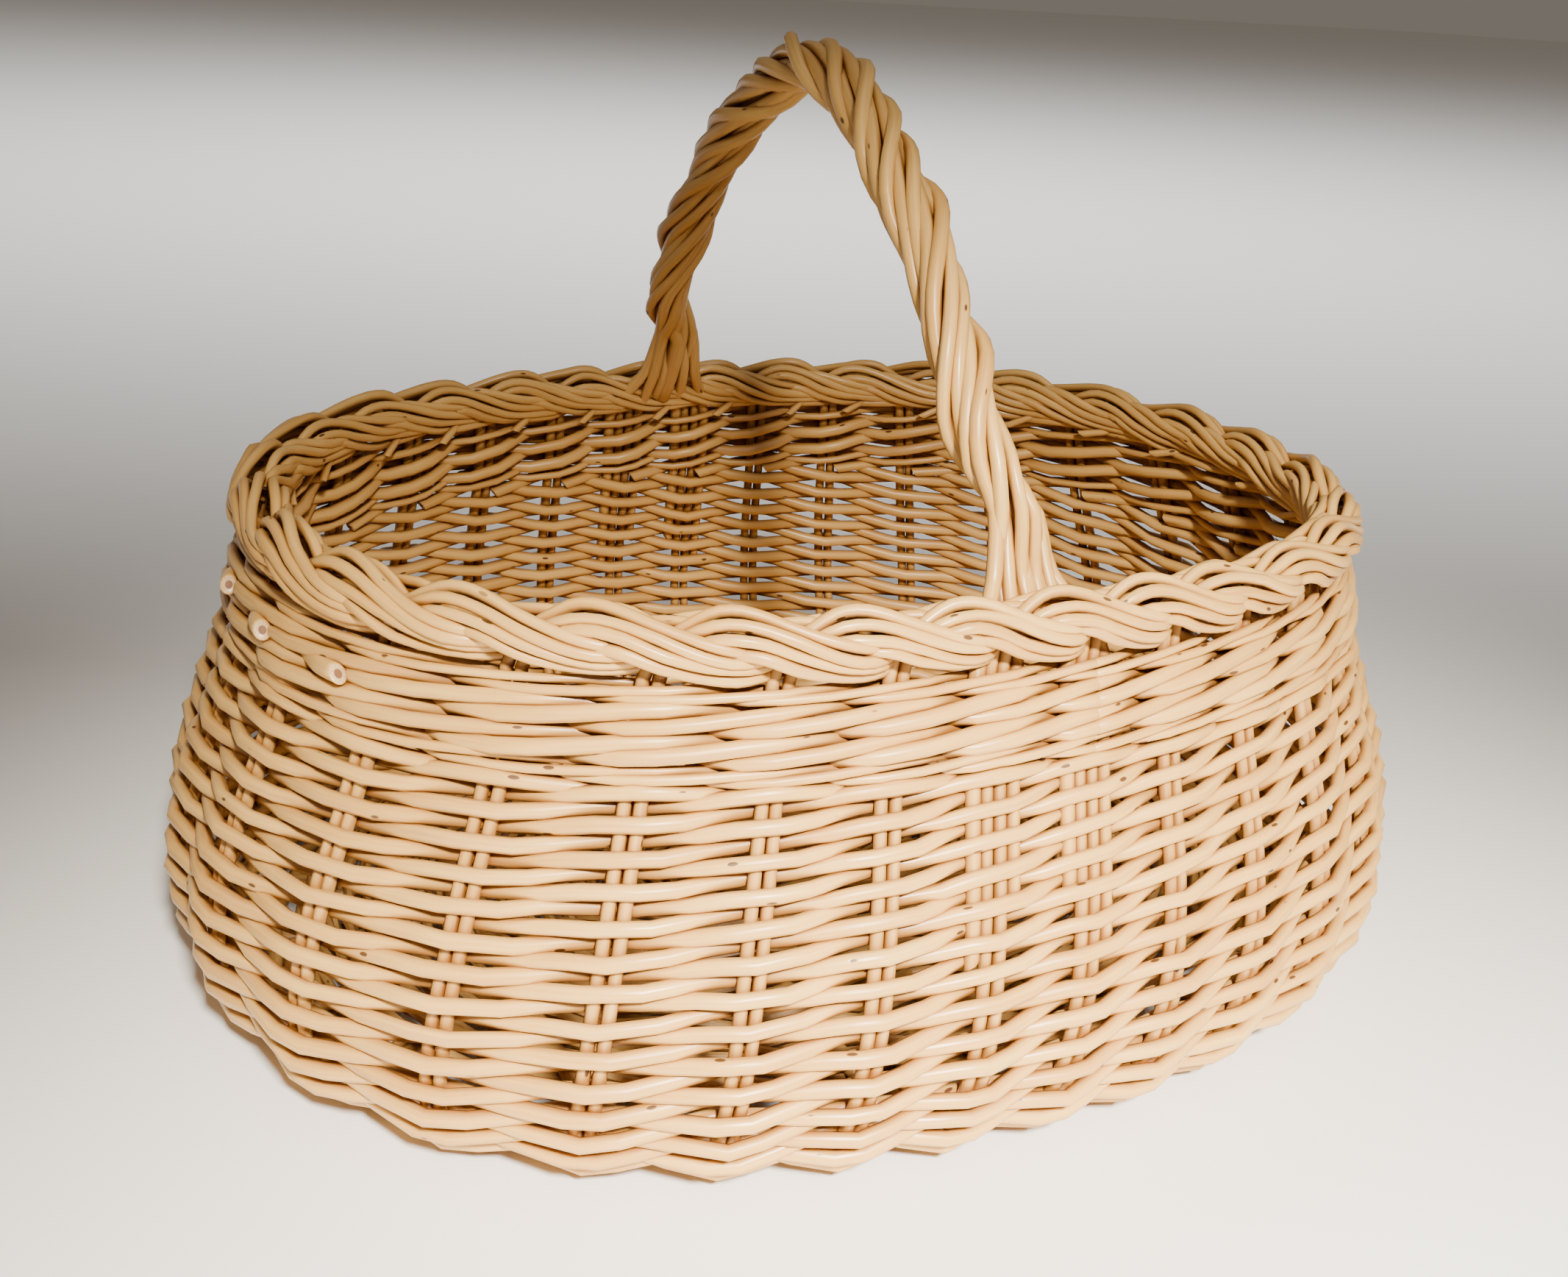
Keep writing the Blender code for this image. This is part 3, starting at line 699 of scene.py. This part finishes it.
    def foot(self, material: bpy.types.Material) -> None:
        """The ring of waling under the stake tails, on which the basket stands."""
        form = self.form
        bundle = Bundle("foot_waling_rods", self.stock, 83)
        stake = form.all_round
        for rod in range(self.foot_rods):
            turn = 2 * math.pi * (stake / 3 + rod / self.foot_rods)
            way = form.ring(stake + self.foot_start * rod, -form.foot_inset + self.foot_swing * np.cos(turn),
                            form.foot_height / 2 + self.foot_lift * np.sin(turn))
            bundle.wind(way, np.full(len(stake), self.foot_rod / 2))
        bundle.finish(material, Slot.WALE, ["foot_wale"])


@dataclass
class Wall(Section):
    """Stakes in pairs, the side weave in front of every other pair, and the waling above it."""

    pair_gap: float = 0.00008
    stake_stray: float = 0.00022
    stake_sizes: tuple = (0.95, 1.03)
    stake_taper: tuple = (1.02, 0.93)
    weaver: Lot = Lot(0.00284, 0.00248, 0.07)
    weave_strays: tuple = (0.00038, 0.00026)
    weave_pieces: int = 3
    butt_start: float = -0.46
    tip_end: float = 0.92
    strokes: int = 30
    depth_shares: tuple = (0.0, 0.12, 0.25, 0.38, 0.50, 0.62, 0.75, 0.88)
    swing: float = 1.13
    swing_round: float = 0.11
    climb_bend: float = 0.10
    low_reach: float = 0.0005
    wale_names: tuple = ("lower_thin_wale", "lower_thick_wale", "upper_thick_wale", "upper_thin_wale")
    wale_rods: int = 3
    thin_rod: float = 0.00160
    thick_rod: float = 0.00258
    wale_stray: float = 0.00032
    wale_sizes: tuple = (0.90, 1.07)
    wale_depth: Knots = ((-1.0, -1.0), (-0.5, 0.1), (-0.15, 1.15), (0.15, 1.25), (0.85, 1.05), (1.15, 0.98),
                         (1.48, 0.1), (1.78, -0.98), (2.22, -0.98), (2.52, 0.1), (2.85, 1.15), (3.15, 1.25))
    wale_level: Knots = ((-0.5, -0.38), (0.0, -0.27), (1.0, 0.25), (1.5, 0.36), (2.0, 0.05),
                         (2.5, -0.38), (3.0, -0.27))
    butt_stakes: tuple = (-8.1, -7.15, -6.22)
    butt_height: float = 0.1505
    butt_bend: Knots = ((-0.8, -1.0), (-0.45, 3.0), (-0.2, 7.4), (0.0, 9.2))
    butt_rise: float = 0.0015
    butt_radii: tuple = (0.0026, 0.0030)

    def stakes(self) -> None:
        """Pairs of rods from the tail under the base up into the border."""
        form = self.form
        bundle = Bundle("stake_rods", self.stock, 11)
        runs = np.concatenate([np.linspace(0.0, form.stake_tail, 5)[:-1],
                               np.linspace(form.stake_tail, form.stake_top, 30)])
        for stake in range(form.stakes):
            for hand in (-1, 1):
                drift = bundle.stray(runs, np.linspace(0, form.stake_top, 8), self.stake_stray)
                way = form.wall(stake, runs, 0.0, hand * (form.half_stake + self.pair_gap) + drift)
                over = form.ring(stake + np.array([0.015, 0.05]), np.array([-0.0006, -0.0022]),
                                 form.rim_height - np.array([0.0065, 0.002]))
                over[:, :2] += (way[-1] - form.wall(stake, runs[-1]))[:2]
                way = np.concatenate([way, over])
                radius = form.half_stake * np.interp(np.arange(len(way)), [0, len(way) - 1], self.stake_taper)
                bundle.wind(way, radius * bundle.chance.uniform(*self.stake_sizes), slant=0.6)
        material = self.shop.material(WillowFinish(Slot.STAKE))
        bundle.finish(material, Slot.STAKE, [f"stake_pair_{k + 1:02d}" for k in range(form.stakes)])

    def weave(self) -> None:
        """French randing: each rod starts at its own stake and climbs in front of one, behind the next."""
        form = self.form
        t = np.concatenate([k + np.array(self.depth_shares) for k in range(-1, self.strokes + 1)])
        t = t[(t >= self.butt_start) & (t <= self.strokes + self.tip_end)]
        thick = self.weaver.taper(t)
        rise = (form.weave_top - form.weave_low - self.weaver.butt - self.weaver.tip) / self.strokes
        climb = np.minimum(t - self.climb_bend * np.sin(2 * np.pi * t), self.strokes)
        fold = 2 / np.pi * np.arcsin(np.cos(np.pi * t))
        swing = self.swing * fold * (1 - self.swing_round * fold ** 4)
        places = np.arange(-2, self.strokes + 2, 0.5)
        each = form.stakes // self.weave_pieces
        material = self.shop.material(WillowFinish(Slot.WEAVE))
        for group in range(self.weave_pieces):
            bundle = Bundle(f"side_weave_rods_{group + 1}", self.stock, 31 + group)
            for number in range(group * each, group * each + each):
                wobble = [bundle.stray(t, places, size) for size in self.weave_strays]
                run = form.weave_low + self.weaver.butt + rise * climb + wobble[0]
                off = swing * (form.half_stake + thick) + wobble[1]
                way = form.wall(number + t, np.maximum(run, form.weave_low - self.low_reach), off)
                bundle.wind(way, thick * bundle.size(self.weaver), slant=0.7)
            bundle.finish(material, Slot.WEAVE, ["side_weave_lower", "side_weave_middle", "side_weave_upper"])

    def waling(self) -> bpy.types.Material:
        """Four bands of three rods, each in front of two stakes and behind one.

        Returns:
            The waling's finish, for the foot as well.
        """
        form = self.form
        material = self.shop.material(WillowFinish(Slot.WALE))
        stake = form.all_round
        low = form.weave_top
        for order, (name, height) in enumerate(zip(self.wale_names, form.wale_heights)):
            rod = self.thin_rod if "thin" in name else self.thick_rod
            bundle = Bundle(name + "_rods", self.stock, 51 + order)
            for number in range(self.wale_rods):
                phase = np.mod(stake - number - order, 3.0)
                depth, level = [flow(knots, phase)[:, 0] for knots in (self.wale_depth, self.wale_level)]
                errors = np.append(bundle.chance.normal(0.0, self.wale_stray, form.stakes), 0.0)
                stray = np.interp(stake, np.arange(0, form.stakes + 1), errors)
                way = form.wall(stake, low + height * (0.5 + level) + stray, depth * (form.half_stake + rod))
                way[-1] = way[0]
                bundle.wind(way, np.full(len(stake), rod * bundle.chance.uniform(*self.wale_sizes)))
            if name == "upper_thick_wale":
                self.butts(bundle)
            bundle.finish(material, Slot.WALE, [name])
            low += height
        return material

    def butts(self, bundle: Bundle) -> None:
        """Thick ends of three waling rods that stand out of the band, each at its own stake."""
        form = self.form
        steps = 13
        back = np.linspace(self.butt_bend[0][0], 0.0, steps)
        run = form.run_at_height(self.butt_height) + np.linspace(-self.butt_rise, 0.0, steps)
        off = flow(self.butt_bend, back)[:, 0] / MILLIMETRES
        bundle.sides = 16
        for stake in self.butt_stakes:
            bundle.wind(form.wall(stake + back, run, off), np.linspace(*self.butt_radii, steps), slant=-0.7)


@dataclass
class Border(Section):
    """Rolled border: at each stake a strand of four rods rises, lies over the outside and turns in.

    Knots are the place in stakes from the strand's own, then millimetres out from the rim and up.
    """

    rod: Lot = Lot(0.00202, 0.00176, 0.12)
    rod_stray: float = 0.00040
    pieces: int = 3
    strand_shift: float = 0.035
    strand_sizes: tuple = (0.94, 1.04)
    outside: tuple = (
        ((-0.05, 0.5, -2.0), (0.12, -0.6, 1.8), (0.28, -1.1, 6.0), (0.42, -1.1, 8.8), (0.58, -0.3, 9.7),
         (0.80, 1.8, 8.4), (1.0, 4.4, 6.2), (1.18, 6.2, 4.2), (1.42, 8.2, 2.0), (1.62, 8.0, 0.4),
         (1.76, 5.6, -0.8), (1.9, 1.0, -1.6), (2.02, -3.8, -2.0)),
        ((0.0, 1.5, -2.6), (0.15, 2.4, 0.8), (0.28, 3.5, 4.2), (0.44, 4.2, 6.9), (0.62, 4.7, 7.3),
         (0.81, 5.7, 6.0), (1.02, 7.4, 3.6), (1.2, 8.4, 1.2), (1.42, 8.9, -1.4), (1.65, 7.8, -2.9),
         (1.78, 5.0, -3.6), (1.9, 0.8, -4.1), (2.02, -3.9, -4.4)),
        ((0.1, 1.5, -3.6), (0.2, 3.0, -1.2), (0.32, 5.2, 1.4), (0.46, 6.9, 3.4), (0.62, 7.8, 3.6),
         (0.81, 8.3, 2.4), (1.02, 8.9, -0.4), (1.2, 8.9, -2.6), (1.42, 8.0, -4.9), (1.65, 6.6, -6.0),
         (1.8, 3.6, -6.4), (1.92, -0.5, -6.6), (2.03, -4.2, -6.6)),
        ((0.2, 1.0, -4.0), (0.35, 2.8, -3.0), (0.5, 5.0, -1.8), (0.64, 6.8, -0.8), (0.76, 8.2, -0.9),
         (0.88, 8.8, -2.0), (1.02, 8.5, -4.2), (1.2, 7.4, -6.2), (1.42, 5.6, -8.2), (1.65, 4.4, -9.0),
         (1.8, 2.0, -9.2), (1.95, -1.5, -9.2), (2.05, -3.6, -8.8)))
    under: float = 2.26
    under_dip: float = 1.0
    turn_back: float = 4.2
    turned_part: float = 1.72
    first_end: float = 3.05
    first_tip: Knots = ((3.22, -4.2, 5.2), (3.4, -2.0, 3.4))
    tail_lengths: tuple = (0.24, 0.40)
    tail_start: tuple = (0.34, 0.06)
    tail_places: tuple = (0, 0.4, 1.0)
    tail_sizes: tuple = (0.80, 0.95)

    def knots(self, rod: int) -> Knots:
        """Knots of one rod of a strand: over the outside, then the same turned round along the inside."""
        over = self.outside[rod]
        inside = [(self.turn_back - t, -out, up) for t, out, up in reversed(over) if t < self.turned_part]
        if rod == 0:
            inside = [k for k in inside if k[0] < self.first_end] + list(self.first_tip)
        last, first = over[-1], inside[0]
        middle = (self.under, (last[1] + first[1]) / 2 - self.under_dip, (last[2] + first[2]) / 2)
        return (*over, middle, *inside)

    def strands(self) -> None:
        """Lay the strands in three pieces, and then the cut ends."""
        form = self.form
        material = self.shop.material(WillowFinish(Slot.BORDER, roughness=0.33))
        for group in range(self.pieces):
            bundle = Bundle(f"border_strands_{group + 1}", self.stock, 91 + group)
            for strand in range(group, form.stakes, self.pieces):
                shift = bundle.chance.normal(0.0, self.strand_shift)
                swell = bundle.chance.uniform(*self.strand_sizes)
                for rod in range(len(self.outside)):
                    knots = self.knots(rod)
                    t = np.linspace(knots[0][0], knots[-1][0], 41)
                    place = flow(knots, t) / MILLIMETRES * swell
                    stray = [bundle.stray(t, np.linspace(t[0], t[-1], 9), self.rod_stray) for _ in range(2)]
                    way = form.ring(strand + t + shift, place[:, 0] + stray[0],
                                    form.rim_height + place[:, 1] + stray[1])
                    bundle.wind(way, self.rod.taper(t) * bundle.size(self.rod), slant=0.6)
            bundle.finish(material, Slot.BORDER, ["rolled_border"])
        self.cut_ends(material)

    def cut_ends(self, material: bpy.types.Material) -> None:
        """The short cut ends that rest inside under the border."""
        form = self.form
        bundle = Bundle("border_cut_ends", self.stock, 97)
        t = np.linspace(0.0, 1.0, 9)
        for strand in range(form.stakes):
            length = bundle.chance.uniform(*self.tail_lengths)
            begin = strand + self.tail_start[0] + bundle.chance.normal(0, self.tail_start[1])
            out = np.interp(t, self.tail_places, [-3.0, -6.2, -8.6]) / MILLIMETRES
            drops = [-6.5, -9.0, -11.0 - bundle.chance.uniform(0, 2.5)]
            drop = np.interp(t, self.tail_places, drops) / MILLIMETRES
            way = form.ring(begin + length * t, out, form.rim_height + drop)
            radius = np.full(len(t), self.rod.tip * bundle.chance.uniform(*self.tail_sizes))
            bundle.wind(way, radius, slant=0.9)
        bundle.finish(material, Slot.BORDER, [])


@dataclass
class Handle(Section):
    """Bow rod with five strands of two rods twisted round it, whose feet spread into the border."""

    bow_height: float = 0.325
    spring_height: float = 0.165
    bow_power: float = 1.6
    bow_spans: int = 24
    strand_rod: float = 0.0068
    rope_start: float = 0.037
    core: float = 0.0038
    core_foot: Knots = ((-0.008, 0.172), (-0.003, 0.179), (0.002, 0.186))
    lay: float = 0.0060
    rod: Lot = Lot(0.00268, 0.00235, 0.07)
    groups: int = 5
    turns: float = 2.9
    pair_half: float = 0.0024
    pair_lift: float = 0.0016
    pair_turns: float = 2.3
    pair_start: float = 0.37
    row_spacing: float = 0.0023
    row_depths: tuple = (0.0008, 0.0032)
    beside_step: float = 0.0069
    beside_depths: tuple = (0.085, 0.070)
    border_top: float = 0.0105
    steps: int = 110
    lean: float = 0.010
    lean_rise: float = 14.0
    lean_power: float = 0.7
    uneven_shares: tuple = (0.2, 1.0, -0.8, 0.7, -1.0)
    unevenness: float = 0.0010
    swells: tuple = (-0.0005, 0.0013)
    sway: float = 0.12
    ride_stray: float = 0.00045
    rope_trim: int = 4

    def __post_init__(self) -> None:
        """Draw the bow's line from the near foot over the top to the far foot."""
        form = self.form
        self.row_out = form.half_width - form.border_reach - self.strand_rod / 2 - 2 * form.clearance
        points = []
        for k in range(self.bow_spans + 1):
            turn = math.pi * k / self.bow_spans
            across = abs(math.cos(turn)) ** (2 / self.bow_power)
            rise = math.sin(turn) ** (2 / self.bow_power) if 0 < k < self.bow_spans else 0.0
            points.append((0.0, -math.copysign(across, math.cos(turn)) * self.row_out,
                           self.spring_height + (self.bow_height - self.spring_height) * rise))
        self.bow = smooth_curve(points, 16)
        self.bow_run = running_length(self.bow)
        self.length = float(self.bow_run[-1])

    def bow_at(self, run: np.ndarray) -> tuple[np.ndarray, np.ndarray]:
        """Points of the bow's line and its outward directions at distances along it."""
        reach = self.length / 100
        before, here, after = [points_at(run + step, self.bow_run, self.bow) for step in (-reach, 0.0, reach)]
        along = unit(after - before)
        return here, np.stack([np.zeros(len(run)), -along[:, 2], along[:, 1]], -1)

    def foot(self, place: tuple, top: np.ndarray, end: int) -> np.ndarray:
        """Way of a rod from the rope down to the border, as for the near foot.

        Args:
            place: Place along the row inside the border, how far inside the row the rod passes, and
                what it follows: the stake, step to one side and depth of a rod that is pushed down
                beside a stake, or None for a rod that is pushed into the border.
            top: The rope's end.
            end: 0 for the near foot and 1 for the far one.

        Returns:
            The points, from the rope downwards.
        """
        form = self.form
        slot, deep, beside = place
        rim, inner = form.rim_height, -self.row_out + deep
        way = [(top[0] * 0.75 + slot * 0.25, top[1] * 0.7 + inner * 0.3, rim + 0.030),
               (top[0] * 0.25 + slot * 0.75, top[1] * 0.25 + inner * 0.75, rim + 0.019),
               (slot, inner - 0.0005, rim + self.border_top)]
        if beside is None:
            way += [(slot * 1.05, inner - 0.005, rim + 0.0045), (slot * 1.1, inner - 0.011, rim - 0.003)]
            return np.array(way)
        stake, side, depth = beside
        heights = np.linspace(rim - self.border_top, rim - self.border_top - depth, 12)
        runs = np.array([form.run_at_height(h) for h in heights])
        wall = form.wall(stake, runs, 0.0, side)
        return np.concatenate([np.array(way), wall * FAR_SIDE if end else wall])

    def pair_phase(self, group: int, hand: int, share: np.ndarray) -> np.ndarray:
        """Turn of a rod round the middle of its own strand, which is twisted loosely."""
        return 2 * math.pi * (self.pair_turns * share + self.pair_start * group) + math.pi * hand

    def angles(self, group: int, hand: int, share: np.ndarray) -> np.ndarray:
        """Angle of a rod round the bow rod at shares of the rope's length."""
        share = np.asarray(share, float)
        return (2 * math.pi * (group / self.groups - self.turns * share) + math.pi / 2
                + self.pair_half / self.lay * np.cos(self.pair_phase(group, hand, share)))

    def build(self) -> None:
        """Lay the bow rod and the pairs of rods round it."""
        material = self.shop.material(WillowFinish(Slot.HANDLE, roughness=0.33))
        share = np.linspace(0.0, 1.0, self.steps + 1)
        middle, outward = self.bow_at(self.rope_start + (self.length - 2 * self.rope_start) * share)
        leaning = np.clip(self.lean_rise * np.minimum(share, 1 - share), 0.0, 1.0) ** self.lean_power
        middle[:, 0] -= self.lean * leaning
        sideways = np.array([1.0, 0.0, 0.0])
        core = Bundle("handle_bow_rod", self.stock, 111, sides=10)
        foot = np.array([[0.0, -self.row_out + y, z] for y, z in self.core_foot])
        way = np.concatenate([foot, middle, (foot * FAR_SIDE)[::-1]])
        core.wind(way, np.full(len(way), self.core))
        core.finish(material, Slot.HANDLE, ["handle_core"])
        near_places, far_places = self.slots(0), self.slots(1)
        for group in range(self.groups):
            bundle = Bundle(f"handle_rods_{group + 1}", self.stock, 121 + group)
            swell = np.interp(share, np.linspace(0, 1, 15), bundle.chance.uniform(*self.swells, 15))
            sway = bundle.stray(share, np.linspace(0, 1, 12), self.sway)
            for hand in (0, 1):
                angle = self.angles(group, hand, share) + sway
                own = bundle.stray(share, np.linspace(0, 1, 18), self.ride_stray)
                ride = (self.lay + self.unevenness * self.uneven_shares[group] + swell + own
                        + self.pair_lift * np.sin(self.pair_phase(group, hand, share)))
                rope = (middle + sideways * (ride * np.cos(angle))[:, None]
                        + outward * (ride * np.sin(angle))[:, None])
                number = 2 * group + hand
                near = self.foot(near_places[number], rope[0], 0)
                far = self.foot(far_places[number], rope[-1] * FAR_SIDE, 1)
                rope = rope[self.rope_trim:-self.rope_trim]
                way = self.even(np.concatenate([near[::-1], rope, far * FAR_SIDE]))
                radius = np.interp(np.linspace(0, 1, len(way)), [0, 0.5, 1],
                                   [self.rod.tip, self.rod.butt, self.rod.tip])
                bundle.wind(way, radius * bundle.size(self.rod), slant=0.7)
            bundle.finish(material, Slot.HANDLE, [f"handle_strand_{k}" for k in range(1, 5)])

    def slots(self, end: int) -> list[tuple]:
        """Where each rod goes at one foot: its place and depth in the row, and what it follows."""
        across = [math.cos(float(self.angles(group, hand, end))) for group in range(self.groups)
                  for hand in (0, 1)]
        order = sorted(range(len(across)), key=lambda k: (round(across[k], 6), k))
        middle = (len(order) - 1) / 2
        chosen = [None] * len(order)
        for rank, number in enumerate(order):
            beside = None
            if rank in (0, 2, 7, 9):
                left = rank < middle
                stake = (14.0 + left) if end else (0.0 - left)
                side = self.beside_step * (1 if rank in (2, 9) else -1) * (-1 if end else 1)
                beside = (stake, side, self.beside_depths[rank in (2, 7)])
            deep = self.row_depths[0] + self.row_depths[1] * (rank % 2)
            chosen[number] = ((rank - middle) * self.row_spacing, deep, beside)
        return chosen

    def even(self, rough: np.ndarray) -> np.ndarray:
        """A way with evenly spread points, softened at the places where it bends."""
        run = running_length(rough)
        way = points_at(np.linspace(0.0, run[-1], 181), run, rough)
        for _ in range(3):
            way[1:-1] = 0.25 * way[:-2] + 0.5 * way[1:-1] + 0.25 * way[2:]
        return way


@dataclass(frozen=True)
class LampPlan:
    """A lamp: AREA or SPOT, its name, where it hangs, what it points at, its watts and its tint."""

    kind: str
    name: str
    place: tuple[float, float, float]
    aim: tuple[float, float, float]
    power: float
    tint: Colour


@dataclass
class Studio:
    """Pale floor, soft light and the camera at the photograph's place."""

    swing: float = -0.4699
    tilt: float = 0.3693
    distance: float = 0.6635
    target: tuple = (-0.0078, 0.0, 0.1116)
    roll: float = 0.0585
    lens: float = 39.107
    paper: tuple = (0.90, 0.89, 0.875, 1.0)
    paper_roughness: float = 0.9
    floor_size: float = 60.0
    key: LampPlan = LampPlan("SPOT", "key_lamp", (-0.30, -1.15, 0.95), (-0.06, -0.45, 0.0), 430.0,
                             (1.0, 0.93, 0.81))
    key_angle: float = 50.0
    key_softness: float = 0.07
    top: LampPlan = LampPlan("AREA", "top_lamp", (0.1, -0.3, 1.6), (0.0, 0.0, 0.1), 3.0, (1.0, 0.95, 0.88))
    top_size: float = 1.2
    backdrop: LampPlan = LampPlan("AREA", "backdrop_lamp", (0.45, 1.0, 3.0), (2.95, 5.25, 1.5), 300.0,
                                  (1.0, 0.99, 0.97))
    backdrop_size: float = 1.0
    surround: tuple = (1.0, 0.88, 0.75, 1.0)
    surround_strength: float = 0.18

    def floor(self) -> None:
        """A wide plain floor."""
        bpy.ops.object.select_all(action="DESELECT")
        bpy.ops.mesh.primitive_plane_add(size=self.floor_size, location=(0.0, 0.0, 0.0))
        floor = bpy.context.object
        floor.name = "studio_floor"
        bpy.ops.object.mode_set(mode="EDIT")
        bpy.ops.mesh.select_all(action="SELECT")
        bpy.ops.mesh.subdivide(number_cuts=3)
        bpy.ops.object.mode_set(mode="OBJECT")
        material = bpy.data.materials.new("studio_paper")
        material.use_nodes = True
        shader = material.node_tree.nodes["Principled BSDF"]
        shader.inputs["Base Color"].default_value = self.paper
        shader.inputs["Roughness"].default_value = self.paper_roughness
        floor.data.materials.append(material)

    def lamp(self, plan: LampPlan) -> bpy.types.Light:
        """Hang a lamp and hand back its own settings, for its size."""
        data = bpy.data.lights.new(plan.name, plan.kind)
        data.energy = plan.power
        data.color = plan.tint
        lamp = bpy.data.objects.new(plan.name, data)
        lamp.location = plan.place
        lamp.rotation_euler = (Vector(plan.aim) - Vector(plan.place)).to_track_quat("-Z", "Y").to_euler()
        bpy.context.scene.collection.objects.link(lamp)
        return data

    def lights(self) -> None:
        """A frontal key that fades towards the far side, a weak lamp overhead and one for the backdrop."""
        key = self.lamp(self.key)
        key.spot_size = math.radians(self.key_angle)
        key.spot_blend = 1.0
        key.shadow_soft_size = self.key_softness
        self.lamp(self.top).size = self.top_size
        self.lamp(self.backdrop).size = self.backdrop_size
        world = bpy.data.worlds.new("surround")
        world.use_nodes = True
        background = world.node_tree.nodes["Background"]
        background.inputs[0].default_value = self.surround
        background.inputs[1].default_value = self.surround_strength
        bpy.context.scene.world = world

    def camera(self) -> None:
        """The camera, turned and rolled as the photograph's was."""
        flat = math.cos(self.tilt)
        back = Vector((math.sin(self.swing) * flat, -math.cos(self.swing) * flat, math.sin(self.tilt)))
        right = (-back).cross(Vector((0.0, 0.0, 1.0))).normalized()
        up = right.cross(-back)
        right, up = (right * math.cos(self.roll) + up * math.sin(self.roll),
                     up * math.cos(self.roll) - right * math.sin(self.roll))
        data = bpy.data.cameras.new("photo_camera")
        data.lens = self.lens
        data.sensor_width = 36.0
        data.sensor_fit = "HORIZONTAL"
        data.clip_start = 0.01
        camera = bpy.data.objects.new("photo_camera", data)
        turn = Matrix((right, up, back)).transposed()
        place = Vector(self.target) + back * self.distance
        camera.matrix_world = Matrix.Translation(place) @ turn.to_4x4()
        bpy.context.scene.collection.objects.link(camera)
        bpy.context.scene.camera = camera


def main() -> None:
    """Build the pieces in order and set the studio."""
    logging.basicConfig(level=logging.INFO, format="%(name)s: %(message)s")
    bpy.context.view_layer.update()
    kit = (BasketForm(), RodStock(), WillowShop())
    base = Base(*kit)
    base.sticks()
    base.weaving()
    wall = Wall(*kit)
    wall.stakes()
    wall.weave()
    base.foot(wall.waling())
    Border(*kit).strands()
    Handle(*kit).build()
    studio = Studio()
    studio.floor()
    studio.lights()
    studio.camera()


if __name__ == "__main__":
    main()
